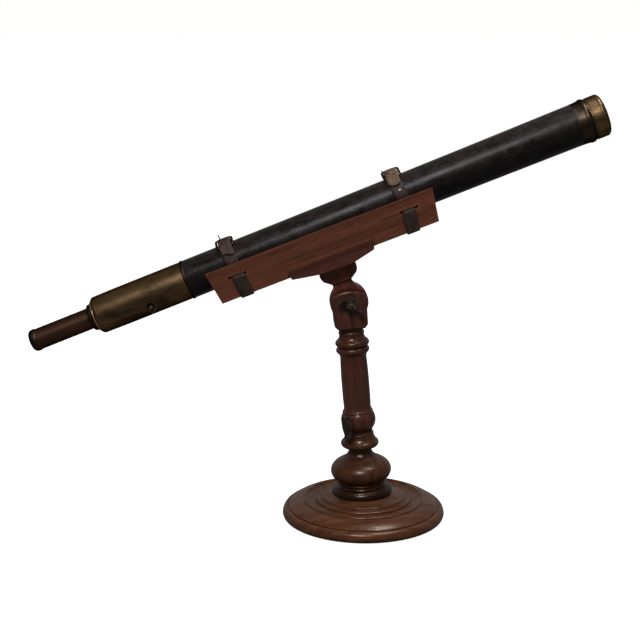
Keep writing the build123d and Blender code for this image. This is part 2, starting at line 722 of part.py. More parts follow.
for end_name, (place, buckle_place, prong_place, aside) in STRAPS.items():
    lift, swing = PRONG_POSES[end_name]
    height = bar_height(place, aside)
    buckle_plane = buckle_frame_at(buckle_place, height, aside)
    with BuildPart() as buckle:
        with BuildSketch(buckle_plane.offset(-BUCKLE_WIRE / 2)):
            with Locations((0, BUCKLE_REACH / 2)):
                RectangleRounded(BUCKLE_LENGTH, BUCKLE_REACH + BUCKLE_WIRE, 3)
                RectangleRounded(
                    BUCKLE_LENGTH - 2 * BUCKLE_WIRE, BUCKLE_REACH - BUCKLE_WIRE, 1.6, mode=Mode.SUBTRACT
                )
        extrude(amount=BUCKLE_WIRE)
        rims = buckle.edges().filter_by(GeomType.LINE)
        fillet(rims.filter_by(Axis(buckle_plane.origin, buckle_plane.z_dir), reverse=True), 0.6)
    finish(buckle, f"{end_name}_buckle")

    # The prong's eye turns on the near bar, and its tip stands up past the far bar.
    hinge = buckle_frame_at(prong_place, height, aside)
    with BuildPart() as prong:
        with BuildSketch(Plane(origin=hinge.origin, x_dir=hinge.y_dir, z_dir=hinge.x_dir)):
            Circle(PRONG_EYE)
            Circle(BUCKLE_WIRE / 2 + 0.5, mode=Mode.SUBTRACT)
        extrude(amount=PRONG_RADIUS, both=True)
        rise = radians(lift)
        reach = hinge.y_dir * cos(rise) + hinge.z_dir * sin(rise)
        prong_dir = reach * cos(radians(swing)) - hinge.x_dir * sin(radians(swing))
        eye = hinge.origin + reach * (BUCKLE_WIRE / 2 + 0.5 + PRONG_RADIUS)
        with BuildSketch(Plane(origin=eye, z_dir=prong_dir)):
            Circle(PRONG_RADIUS)
        extrude(amount=PRONG_LENGTH, taper=1.2)
    finish(prong, f"{end_name}_prong")

with BuildPart() as strap_rivets:
    for place, _, _, aside in STRAPS.values():
        surface = strap_radius(place) + STRAP_THICKNESS / 2
        turn = radians(tip_turn(place, aside)) + (TIP_LENGTH + RIVET_BELOW_TIP) / strap_radius(place)
        outward = Vector(0, cos(turn), 0) + trough_frame.y_dir * sin(turn)
        centre = trough_frame.from_local_coords((place + 1.5, tube_centre_height(place), 0))
        foot = centre + outward * (surface + 0.02)
        with BuildSketch(Plane(origin=foot, z_dir=outward)):
            Circle(1.7)
        extrude(amount=0.9, taper=25)
finish(strap_rivets, "strap_rivets")

# ---- barrel, ferrule and objective ----


def barrel_profile(outer_in, inner_in):
    """Shell between two depths below the covered barrel's outside."""
    low, middle, high = BARREL_RADII
    start, centre_at, end = BARREL_START, BARREL_MIDDLE, BARREL_END
    with BuildLine() as outline:
        ThreePointArc((start, low - outer_in), (centre_at, middle - outer_in), (end, high - outer_in))
        Line((end, high - outer_in), (end, high - inner_in))
        ThreePointArc((end, high - inner_in), (centre_at, middle - inner_in), (start, low - inner_in))
        Line((start, low - inner_in), (start, low - outer_in))
    make_face(outline.edges())


with BuildPart() as leather_sleeve:
    with BuildSketch(tube_frame):
        barrel_profile(0, SLEEVE_THICKNESS)
    revolve(axis=tube_axis)
finish(leather_sleeve, "leather_sleeve")

shell = SLEEVE_THICKNESS + 0.02
with BuildPart() as barrel_tube:
    with BuildSketch(tube_frame):
        barrel_profile(shell, shell + TUBE_WALL)
    revolve(axis=tube_axis)
finish(barrel_tube, "barrel_tube")

barrel_bore_start = BARREL_RADII[0] - shell - TUBE_WALL
barrel_bore_end = BARREL_RADII[2] - shell - TUBE_WALL
tail_bore = TAIL_RADIUS - TUBE_WALL
ring_bore = 18.6

with BuildPart() as joint_bead:
    with BuildSketch(tube_frame):
        with BuildLine():
            Polyline(
                (BARREL_START + 8, ring_bore),
                (BARREL_START + 8, barrel_bore_start - 0.02),
                (BARREL_START - 0.02, barrel_bore_start - 0.02),
                (BARREL_START - 0.02, BARREL_RADII[0] - 0.3),
            )
            ThreePointArc(
                (BARREL_START - 0.02, BARREL_RADII[0] - 0.3),
                ((BARREL_START + TAIL_END) / 2, BARREL_RADII[0] + 0.75),
                (TAIL_END + 0.02, TAIL_RADIUS - 0.1),
            )
            Polyline(
                (TAIL_END + 0.02, TAIL_RADIUS - 0.1),
                (TAIL_END + 0.02, tail_bore - 0.02),
                (TAIL_END - 7, tail_bore - 0.02),
                (TAIL_END - 7, ring_bore),
                (BARREL_START + 8, ring_bore),
            )
        make_face()
    revolve(axis=tube_axis)
finish(joint_bead, "joint_bead")

with BuildPart() as glare_stop:
    with BuildSketch(tube_frame):
        ring_profile(90, 91.5, 13.5, BARREL_RADII[0] - shell - TUBE_WALL - 0.1)
    revolve(axis=tube_axis)
finish(glare_stop, "glare_stop")

BEAD_AT = 333.8
with BuildPart() as front_ferrule:
    with BuildSketch(tube_frame):
        with BuildLine():
            Polyline(
                (BARREL_END - 12, barrel_bore_end - 1.9),
                (BARREL_END - 12, barrel_bore_end - 0.4),
                (BARREL_END + 0.02, barrel_bore_end - 0.02),
                (BARREL_END + 0.02, BARREL_RADII[2] + 0.15),
            )
            bead_start = (BEAD_AT - 3.2, 25.7)
            ThreePointArc((BARREL_END + 0.02, BARREL_RADII[2] + 0.15), (BARREL_END + 5, 25.15), bead_start)
            ThreePointArc(bead_start, (BEAD_AT, 26.4), (BEAD_AT + 2.8, 25.3))
            Polyline(
                (BEAD_AT + 2.8, 25.3),
                (CELL_START, 24.9),
                (CELL_START, 23.0),
                (CELL_START - 5.6, 23.0),
                (CELL_START - 5.6, barrel_bore_end - 1.9),
                (BARREL_END - 12, barrel_bore_end - 1.9),
            )
        make_face()
    revolve(axis=tube_axis)
finish(front_ferrule, "front_ferrule")

with BuildPart() as objective_cell:
    with BuildSketch(tube_frame):
        with BuildLine():
            Polyline((FRONT_END - 1.6, 20.2), (FRONT_END - 3.2, 20.2), (FRONT_END - 3.2, LENS_RADIUS + 0.05))
            Polyline(
                (FRONT_END - 3.2, LENS_RADIUS + 0.05),
                (CELL_START - 4.6, LENS_RADIUS + 0.05),
                (CELL_START - 4.6, 22.95),
                (CELL_START + 0.02, 22.95),
                (CELL_START + 0.02, 24.2),
                (CELL_START + 1.6, 24.2),
                (CELL_START + 2.2, 25.2),
                (FRONT_END - 6.6, 25.2),
                (FRONT_END - 6.0, 24.7),
                (FRONT_END - 5.4, 25.2),
            )
            ThreePointArc((FRONT_END - 5.4, 25.2), (FRONT_END - 1.4, 24), (FRONT_END, 21.4))
            ThreePointArc((FRONT_END, 21.4), (FRONT_END - 0.4, 20.5), (FRONT_END - 1.6, 20.2))
        make_face()
    revolve(axis=tube_axis)
finish(objective_cell, "objective_cell")

lens_edge = LENS_RADIUS - 0.05
crown_front = FRONT_END - 3.5
contact = crown_front - 4.0
flint_back = crown_front - 11.0
CROWN_BULGE = 1.4
CONTACT_BULGE = 3.4
FLINT_HOLLOW = 0.6

with BuildPart() as crown_lens:
    with BuildSketch(tube_frame):
        with BuildLine():
            Line((contact - CONTACT_BULGE, 0), (crown_front + CROWN_BULGE, 0))
            front_arc = dome_point(crown_front, lens_edge, CROWN_BULGE)
            ThreePointArc((crown_front + CROWN_BULGE, 0), front_arc, (crown_front, lens_edge))
            Line((crown_front, lens_edge), (contact, lens_edge))
            back_arc = dome_point(contact, lens_edge, -CONTACT_BULGE)
            ThreePointArc((contact, lens_edge), back_arc, (contact - CONTACT_BULGE, 0))
        make_face()
    revolve(axis=tube_axis)
finish(crown_lens, "crown_lens")

with BuildPart() as flint_lens:
    with BuildSketch(tube_frame):
        with BuildLine():
            rim = contact - 0.08
            hollow_arc = dome_point(rim, lens_edge, -CONTACT_BULGE)
            ThreePointArc((rim, lens_edge), hollow_arc, (rim - CONTACT_BULGE, 0))
            Line((rim - CONTACT_BULGE, 0), (flint_back + FLINT_HOLLOW, 0))
            rear_arc = dome_point(flint_back, lens_edge, FLINT_HOLLOW)
            ThreePointArc((flint_back + FLINT_HOLLOW, 0), rear_arc, (flint_back, lens_edge))
            Line((flint_back, lens_edge), (rim, lens_edge))
        make_face()
    revolve(axis=tube_axis)
finish(flint_lens, "flint_lens")

with BuildPart() as retaining_ring:
    with BuildSketch(tube_frame):
        ring_profile(flint_back - 3.1, flint_back - 0.05, LENS_RADIUS - 2.4, lens_edge)
    revolve(axis=tube_axis)
finish(retaining_ring, "retaining_ring")

# ---- tail tube, gland and guide ----

rack_pitch_depth = DRAW_RADIUS + RACK_BACK + RACK_DEDENDUM
pinion_depth = rack_pitch_depth + MODULE * PINION_TEETH / 2
arbor_reach = sqrt(TAIL_RADIUS**2 - pinion_depth**2)
gear_frame = Plane(
    origin=focus_frame.from_local_coords((PINION_AT, -pinion_depth, 0)),
    x_dir=focus_frame.x_dir,
    z_dir=focus_frame.z_dir,
)
# Stations and turns of the two small screws on the near side of the tail.
TAIL_SCREWS = ((TAIL_START + 13.7, -26.0), (PINION_AT + 6.5, 3.6))


def radial_plane(station, turn, distance):
    """Plane facing out from the tube, at an angle above the near side's level line."""
    angle = radians(turn)
    outward = tube_frame.z_dir * cos(angle) + tube_frame.y_dir * sin(angle)
    foot = point_on(tube_frame, station, 0) + outward * distance
    return Plane(origin=foot, x_dir=tube_frame.x_dir, z_dir=outward)


with BuildPart() as tail_tube:
    with BuildSketch(tube_frame):
        with BuildLine():
            # A small bead runs round the front edge.
            Line((TAIL_START + 0.6, 16.3), (TAIL_START + 0.6, 17.7))
            ThreePointArc((TAIL_START + 0.6, 17.7), (TAIL_START, 18.5), (TAIL_START + 0.9, 19.1))
            ThreePointArc(
                (TAIL_START + 0.9, 19.1),
                (TAIL_START + 2.4, 21.3),
                (TAIL_START + 5.4, TAIL_RADIUS - 0.3),
            )
            Polyline(
                (TAIL_START + 5.4, TAIL_RADIUS - 0.3),
                (TAIL_START + 34, TAIL_RADIUS),
                (TAIL_END, TAIL_RADIUS),
                (TAIL_END, tail_bore),
                (TAIL_START + 5.8, tail_bore),
            )
            ThreePointArc((TAIL_START + 5.8, tail_bore), (TAIL_START + 3.2, 20.2), (TAIL_START + 2.2, 16.3))
            Line((TAIL_START + 2.2, 16.3), (TAIL_START + 0.6, 16.3))
        make_face()
    revolve(axis=tube_axis)
    # Round recess that the arbor's bare end stands in.
    with BuildSketch(gear_frame):
        Circle(RECESS_RADIUS)
    extrude(amount=arbor_reach + 6, mode=Mode.SUBTRACT)
    for station, turn in TAIL_SCREWS:
        with BuildSketch(radial_plane(station, turn, TAIL_RADIUS - 4)):
            Circle(1.12)
        extrude(amount=8, mode=Mode.SUBTRACT)
finish(tail_tube, "tail_tube")

with BuildPart() as gland_body:
    with BuildSketch(tube_frame):
        with BuildLine():
            Polyline(
                (TAIL_START - 3.6, 15.0),
                (TAIL_START - 1.8, 15.0),
                (TAIL_START - 1.8, 16.7),
                (TAIL_START - 1.2, 17.3),
                (TAIL_START + 0.2, 17.3),
                (TAIL_START + 0.55, 16.9),
                (TAIL_START + 0.55, 16.25),
                (TAIL_START + 2.7, 16.25),
                (TAIL_START + 2.7, 17.8),
                (TAIL_START + 6.0, 17.8),
                (TAIL_START + 6.0, DRAW_RADIUS + RUNNING),
                (TAIL_START + 1.2, DRAW_RADIUS + RUNNING),
                (TAIL_START + 1.2, 14.1),
                (TAIL_START - 3.6, 14.1),
                close=True,
            )
        make_face()
    revolve(axis=tube_axis)
finish(gland_body, "gland_body")

with BuildPart() as gland_packing:
    with BuildSketch(tube_frame):
        ring_profile(TAIL_START - 3.5, TAIL_START + 1.1, DRAW_RADIUS + LOOSE, 14.05)
    revolve(axis=tube_axis)
finish(gland_packing, "gland_packing")

with BuildPart() as gland_nut:
    with BuildSketch(tube_frame):
        with BuildLine():
            Line((GLAND_START, DRAW_RADIUS + RUNNING), (GLAND_START, 13.9))
            ThreePointArc((GLAND_START, 13.9), (GLAND_START + 1.1, 15.5), (GLAND_START + 2.8, 16.2))
            Polyline(
                (GLAND_START + 2.8, 16.2),
                (GLAND_START + 3.8, 16.2),
                (GLAND_START + 4.2, 15.8),
                (GLAND_START + 4.2, 15.05),
                (GLAND_START + 2.8, 15.05),
                (GLAND_START + 2.8, DRAW_RADIUS + RUNNING),
                (GLAND_START, DRAW_RADIUS + RUNNING),
            )
        make_face()
    revolve(axis=tube_axis)
finish(gland_nut, "gland_nut")

GUIDE_AT = -186.0
with BuildPart() as inner_guide:
    with BuildSketch(tube_frame):
        ring_profile(GUIDE_AT, GUIDE_AT + 5, DRAW_RADIUS + RUNNING, tail_bore - 0.02)
    revolve(axis=tube_axis)
    with BuildSketch(focus_frame):
        with Locations((GUIDE_AT + 2.5, -DRAW_RADIUS - 1)):
            Rectangle(8, 7)
    extrude(amount=RACK_WIDTH / 2 + 0.5, both=True, mode=Mode.SUBTRACT)
finish(inner_guide, "inner_guide")

# ---- draw tube, rack and pinion ----

DRAW_END = -166.0
PRESSURE = radians(20)
pitch = pi * MODULE
RACK_TEETH = 34
RACK_FIRST = PINION_AT - (RACK_TEETH - 1) / 2 * pitch

with BuildPart() as draw_tube:
    with BuildSketch(tube_frame):
        ring_profile(DRAW_START, DRAW_END, DRAW_RADIUS - DRAW_WALL, DRAW_RADIUS)
    revolve(axis=tube_axis)
finish(draw_tube, "draw_tube")

with BuildPart() as focus_rack:
    # Teeth point away from the tube, and one gap faces the pinion at rest.
    root = rack_pitch_depth - RACK_DEDENDUM
    tip = rack_pitch_depth + RACK_ADDENDUM
    tooth = pitch / 2 - BACKLASH
    half_root = tooth / 2 + (rack_pitch_depth - root) * tan(PRESSURE)
    half_tip = tooth / 2 - RACK_ADDENDUM * tan(PRESSURE)
    with BuildSketch(focus_frame):
        with BuildLine():
            outline = [(RACK_FIRST - pitch / 2, -DRAW_RADIUS + 0.3), (RACK_FIRST - pitch / 2, -root)]
            for number in range(RACK_TEETH):
                centre = RACK_FIRST + number * pitch
                outline += [
                    (centre - half_root, -root),
                    (centre - half_tip, -tip),
                    (centre + half_tip, -tip),
                    (centre + half_root, -root),
                ]
            last = RACK_FIRST + (RACK_TEETH - 0.5) * pitch
            outline += [(last, -root), (last, -DRAW_RADIUS + 0.3)]
            Polyline(*outline, close=True)
        make_face()
    extrude(amount=RACK_WIDTH / 2, both=True)
    # Its back is hollowed to fit the round draw tube.
    with BuildSketch(across(tube_frame, RACK_FIRST - 5)):
        Circle(DRAW_RADIUS + 0.02)
    extrude(amount=RACK_TEETH * pitch + 10, mode=Mode.SUBTRACT)
finish(focus_rack, "focus_rack")


def involute(base, roll_angle, start, hand):
    """Point on the involute of a base circle, wound on from the start direction."""
    turn = start + hand * roll_angle
    x = base * (cos(turn) + hand * roll_angle * sin(turn))
    y = base * (sin(turn) - hand * roll_angle * cos(turn))
    return (x, y)


with BuildPart() as focus_pinion:
    pitch_radius = MODULE * PINION_TEETH / 2
    base_radius = pitch_radius * cos(PRESSURE)
    tip_radius = pitch_radius + MODULE
    root_radius = pitch_radius - RACK_ADDENDUM - 0.2
    foot_radius = root_radius * 0.9
    tip_roll = sqrt((tip_radius / base_radius) ** 2 - 1)
    half_tooth = (pitch / 2 - 0.02) / (2 * pitch_radius) + tan(PRESSURE) - PRESSURE
    with BuildSketch(gear_frame.offset(-RACK_WIDTH / 2 - 0.5)):
        Circle(root_radius)
        for number in range(PINION_TEETH):
            # A tooth stands in the rack's gap, straight up from the pinion's centre.
            middle = pi / 2 + 2 * pi * number / PINION_TEETH
            rolls = [tip_roll * step / 4 for step in range(5)]
            right = [involute(base_radius, r, middle - half_tooth, 1) for r in rolls]
            left = [involute(base_radius, r, middle + half_tooth, -1) for r in rolls]
            foot_right = (foot_radius * cos(middle - half_tooth), foot_radius * sin(middle - half_tooth))
            foot_left = (foot_radius * cos(middle + half_tooth), foot_radius * sin(middle + half_tooth))
            with BuildLine():
                Line(foot_right, right[0])
                Spline(*right)
                Line(right[-1], left[-1])
                Spline(*left[::-1])
                Line(left[0], foot_left)
                Line(foot_left, foot_right)
            make_face()
    extrude(amount=RACK_WIDTH + 1)
    with BuildSketch(gear_frame.offset(-11)):
        Circle(1.5)
    extrude(amount=11 + BUSH_FACE + 1)
    # The bare end of the arbor is thicker, with a slot across it.
    with BuildSketch(gear_frame.offset(BUSH_FACE + 0.1)):
        Circle(2.4)
    extrude(amount=arbor_reach + 1 - BUSH_FACE)
    with BuildSketch(gear_frame.offset(arbor_reach)):
        Rectangle(6, 0.8, rotation=65)
    extrude(amount=2, mode=Mode.SUBTRACT)
finish(focus_pinion, "focus_pinion")

with BuildPart() as arbor_bush:
    with BuildSketch(gear_frame.offset(BUSH_BACK)):
        Circle(RECESS_RADIUS - 0.04)
        Circle(1.5 + RUNNING, mode=Mode.SUBTRACT)
    extrude(amount=BUSH_FACE - BUSH_BACK)
finish(arbor_bush, "arbor_bush")

with BuildPart() as pinion_bracket:
    # A block screwed inside the tube holds the far end of the arbor.
    with BuildSketch(gear_frame.offset(-10.6)):
        Rectangle(8, 8)
        Circle(1.5 + RUNNING, mode=Mode.SUBTRACT)
    extrude(amount=6.6)
    with BuildSketch(across(tube_frame, PINION_AT - 10)):
        Circle(60)
        Circle(tail_bore - 0.04, mode=Mode.SUBTRACT)
    extrude(amount=20, mode=Mode.SUBTRACT)
    with BuildSketch(across(tube_frame, PINION_AT - 10)):
        Circle(DRAW_RADIUS + 0.3)
    extrude(amount=20, mode=Mode.SUBTRACT)
finish(pinion_bracket, "pinion_bracket")

with BuildPart() as tail_screws:
    for station, turn in TAIL_SCREWS:
        with BuildSketch(radial_plane(station, turn, tail_bore - 0.5)):
            Circle(1.1)
        extrude(amount=TUBE_WALL + 0.35)
        with BuildSketch(radial_plane(station, turn, TAIL_RADIUS - 0.45)):
            Rectangle(3, 0.4)
        extrude(amount=2, mode=Mode.SUBTRACT)
finish(tail_screws, "tail_screws")

# ---- eyepiece and erecting lenses, inside the draw tube ----

draw_bore = DRAW_RADIUS - DRAW_WALL


def lens_profile(station, radius, thickness, bulge):
    """Half section of a biconvex lens with a plain edge, on the tube's axis."""
    half = thickness / 2
    front_arc = dome_point(station + half, radius, bulge)
    back_arc = dome_point(station - half, radius, -bulge)
    with BuildLine() as outline:
        Line((station - half - bulge, 0), (station + half + bulge, 0))
        ThreePointArc((station + half + bulge, 0), front_arc, (station + half, radius))
        Line((station + half, radius), (station - half, radius))
        ThreePointArc((station - half, radius), back_arc, (station - half - bulge, 0))
    make_face(outline.edges())


with BuildPart() as eyepiece_cap:
    with BuildSketch(tube_frame):
        with BuildLine():
            ThreePointArc((EYE_END, 4.2), (EYE_END + 1.6, 3.6), (EYE_END + 3, 4.6))
            Polyline(
                (EYE_END + 3, 4.6),
                (EYE_END + 3, 9.55),
                (DRAW_START + 3, 9.55),
                (DRAW_START + 3, draw_bore - 0.03),
                (DRAW_START - 0.02, draw_bore - 0.03),
                (DRAW_START - 0.02, DRAW_RADIUS + 0.1),
            )
            rim = (DRAW_START - 3, 13.3)
            ThreePointArc((DRAW_START - 0.02, DRAW_RADIUS + 0.1), (DRAW_START - 1.2, 13.4), rim)
            ThreePointArc(rim, (EYE_END + 1.7, 11.9), (EYE_END, 8.2))
            Line((EYE_END, 8.2), (EYE_END, 4.2))
        make_face()
    revolve(axis=tube_axis)
finish(eyepiece_cap, "eyepiece_cap")

with BuildPart() as eye_lens:
    with BuildSketch(tube_frame):
        lens_profile(EYE_END + 6.0, 9.5, 1.6, 1.2)
    revolve(axis=tube_axis)
finish(eye_lens, "eye_lens")

with BuildPart() as field_lens:
    with BuildSketch(tube_frame):
        lens_profile(DRAW_START + 26, draw_bore - 0.05, 2, 1.6)
    revolve(axis=tube_axis)
finish(field_lens, "field_lens")

with BuildPart() as field_stop:
    with BuildSketch(tube_frame):
        ring_profile(DRAW_START + 12, DRAW_START + 14, 6.5, draw_bore - 0.03)
    revolve(axis=tube_axis)
finish(field_stop, "field_stop")

ERECTOR_START = -218.0
ERECTOR_END = -168.0
with BuildPart() as erector_tube:
    with BuildSketch(tube_frame):
        ring_profile(ERECTOR_START, ERECTOR_END, draw_bore - 0.8, draw_bore - 0.03)
    revolve(axis=tube_axis)
finish(erector_tube, "erector_tube")

erector_bore = draw_bore - 0.8
erector_middle = (ERECTOR_START + ERECTOR_END) / 2
with BuildPart() as erector_stop:
    with BuildSketch(tube_frame):
        ring_profile(erector_middle, erector_middle + 1.2, 2.5, erector_bore - 0.03)
    revolve(axis=tube_axis)
finish(erector_stop, "erector_stop")

for end_name, station in (("rear", ERECTOR_START + 5), ("front", ERECTOR_END - 5)):
    with BuildPart() as erector_lens:
        with BuildSketch(tube_frame):
            lens_profile(station, erector_bore - 0.05, 2, 1.4)
        revolve(axis=tube_axis)
    finish(erector_lens, f"{end_name}_erector_lens")
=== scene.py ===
import json
from math import asin, cos, degrees, pi, radians, sin, sqrt

import bpy
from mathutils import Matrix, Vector


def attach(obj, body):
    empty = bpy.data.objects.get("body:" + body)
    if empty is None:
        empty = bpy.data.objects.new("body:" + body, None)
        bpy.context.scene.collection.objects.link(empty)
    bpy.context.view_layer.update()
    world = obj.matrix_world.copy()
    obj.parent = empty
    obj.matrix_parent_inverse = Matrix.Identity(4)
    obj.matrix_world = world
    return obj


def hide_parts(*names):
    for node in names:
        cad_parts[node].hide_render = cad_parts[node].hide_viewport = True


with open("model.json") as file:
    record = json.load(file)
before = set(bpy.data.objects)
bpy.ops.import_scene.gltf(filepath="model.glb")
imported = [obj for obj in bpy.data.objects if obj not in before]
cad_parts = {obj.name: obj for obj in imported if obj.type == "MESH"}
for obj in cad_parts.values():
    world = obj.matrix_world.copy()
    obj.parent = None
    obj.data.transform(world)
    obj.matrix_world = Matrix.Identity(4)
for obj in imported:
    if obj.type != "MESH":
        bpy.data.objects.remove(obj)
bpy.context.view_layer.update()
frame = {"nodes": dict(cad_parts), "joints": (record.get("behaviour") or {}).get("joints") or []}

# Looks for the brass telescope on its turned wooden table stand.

# ---- driving dimensions, in metres and degrees ----

MM = 0.001
TROUGH_PITCH = 20.8
TUBE_PITCH = 21.55
PEDESTAL_LEAN = 2.8
PILLAR_LEAN = 4.8
TUBE_OVER_PIVOT = 95.3 * MM
STRAP_THICKNESS = 1.9 * MM
SLOT_INSIDE = 86.1 * MM
SLOT_OUTSIDE = 80.5 * MM
TIP_THICKNESS = 1.7 * MM
WIRE_RADIUS = 1.35 * MM
BUCKLE_REACH = 17.0 * MM
BUCKLE_TILT = 20.0
BUCKLE_CORNER = 2.6 * MM
WIRE_SIDES = 14
# Height along the pedestal below which its foot is darkened as painted shade under the bulb.
SOOT_HEIGHT = 46 * MM
FLOOR_RADIUS = 40

CAMERA_PLACE = (-0.1206, -1.5431, 0.5971)
CAMERA_DOWN = 12.8
CAMERA_ASIDE = 2.5
CAMERA_LENS = 74.8

# Brightness of the room on the camera's side and beyond the telescope.
ROOM_FRONT = 0.14
ROOM_BACK = 0.32


def joint_place(name):
    """Position of a joint in the frame."""
    found = next(j for j in frame["joints"] if j["name"] == name)
    return Vector(found["pos_m"])


def leaning(pitch):
    """Unit vectors along and up from a line that rises at pitch degrees from +X."""
    turn = radians(pitch)
    return Vector((cos(turn), 0, sin(turn))), Vector((-sin(turn), 0, cos(turn)))


ACROSS = Vector((0, 1, 0))
pivot = joint_place("cradle_tilt")
trough_along, trough_up = leaning(TROUGH_PITCH)
tube_along, tube_up = leaning(TUBE_PITCH)
pedestal_up = leaning(PEDESTAL_LEAN)[1]
pillar_up = leaning(PILLAR_LEAN)[1]


# ---- material building blocks ----


class Finish:
    """A procedural material, wired one node at a time."""

    def __init__(self, name):
        self.material = bpy.data.materials.new(name)
        self.material.use_nodes = True
        self.tree = self.material.node_tree
        self.shader = self.tree.nodes["Principled BSDF"]
        self.place = self.node("ShaderNodeTexCoord").outputs["Object"]

    def node(self, kind, settings=(), inputs=()):
        made = self.tree.nodes.new(kind)
        for key, value in dict(settings).items():
            setattr(made, key, value)
        for key, value in dict(inputs).items():
            self.feed(made.inputs[key], value)
        return made

    def feed(self, socket, value):
        if isinstance(value, bpy.types.NodeSocket):
            self.tree.links.new(value, socket)
        else:
            socket.default_value = value

    def set(self, **inputs):
        for key, value in inputs.items():
            self.feed(self.shader.inputs[key.replace("_", " ")], value)

    def mapped(self, vector, scale=(1, 1, 1), offset=(0, 0, 0), turn=(0, 0, 0)):
        inputs = {"Vector": vector, "Location": offset, "Rotation": turn, "Scale": scale}
        return self.node("ShaderNodeMapping", inputs=inputs).outputs["Vector"]

    def grain_space(self, along):
        """Coordinates turned so that the grain runs along their z."""
        turn = Vector(along).rotation_difference(Vector((0, 0, 1))).to_euler()
        return self.mapped(self.place, turn=tuple(turn))

    def noise(self, vector, scale, detail=4.0, rough=0.55, distortion=0.0):
        inputs = {"Vector": vector, "Scale": scale, "Detail": detail, "Roughness": rough}
        inputs["Distortion"] = distortion
        return self.node("ShaderNodeTexNoise", inputs=inputs).outputs["Fac"]

    def ramp(self, value, *stops):
        """Numbers or colours spread between (position, value) stops."""
        made = self.node("ShaderNodeValToRGB", inputs={"Fac": value})
        band = made.color_ramp
        while len(band.elements) < len(stops):
            band.elements.new(0.5)
        for element, (position, level) in zip(band.elements, stops):
            element.position = position
            element.color = (*level, 1) if isinstance(level, tuple) else (level, level, level, 1)
        return made.outputs["Color"]

    def mix(self, share, first, second):
        """First at share 0 and second at share 1, as colours."""
        made = self.node("ShaderNodeMix", {"data_type": "RGBA"})
        sockets = (made.inputs[0], made.inputs[6], made.inputs[7])
        for socket, value in zip(sockets, (share, first, second)):
            self.feed(socket, (*value, 1) if isinstance(value, tuple) else value)
        return made.outputs[2]

    def math(self, operation, first, second=0.0):
        made = self.node("ShaderNodeMath", {"operation": operation})
        self.feed(made.inputs[0], first)
        self.feed(made.inputs[1], second)
        return made.outputs[0]

    def bump(self, height, strength, distance, under=None):
        inputs = {"Height": height, "Strength": strength, "Distance": distance}
        if under is not None:
            inputs["Normal"] = under
        return self.node("ShaderNodeBump", inputs=inputs).outputs["Normal"]

    def crevices(self, distance):
        """1 in the open, and less down in grooves and corners."""
        made = self.node("ShaderNodeAmbientOcclusion", {"samples": 6}, {"Distance": distance})
        return made.outputs["AO"]

    def worn_edges(self, radius, low=0.02, high=0.2):
        """1 on edges, 0 on flat faces; used for rubbed wear, and on wood also for painted highlights. Low
        and high bound how far an edge turns.
        """
        rounded = self.node("ShaderNodeBevel", {"samples": 6}, {"Radius": radius}).outputs["Normal"]
        plain = self.node("ShaderNodeNewGeometry").outputs["Normal"]
        made = self.node("ShaderNodeVectorMath", {"operation": "DOT_PRODUCT"})
        self.feed(made.inputs[0], rounded)
        self.feed(made.inputs[1], plain)
        turned = self.math("SUBTRACT", 1.0, made.outputs["Value"])
        return self.ramp(turned, (low, 0.0), (high, 1.0))


def shade(colour, share):
    """Lighter or darker version of a colour, kept from going over 1."""
    return tuple(min(1, c * share) for c in colour)


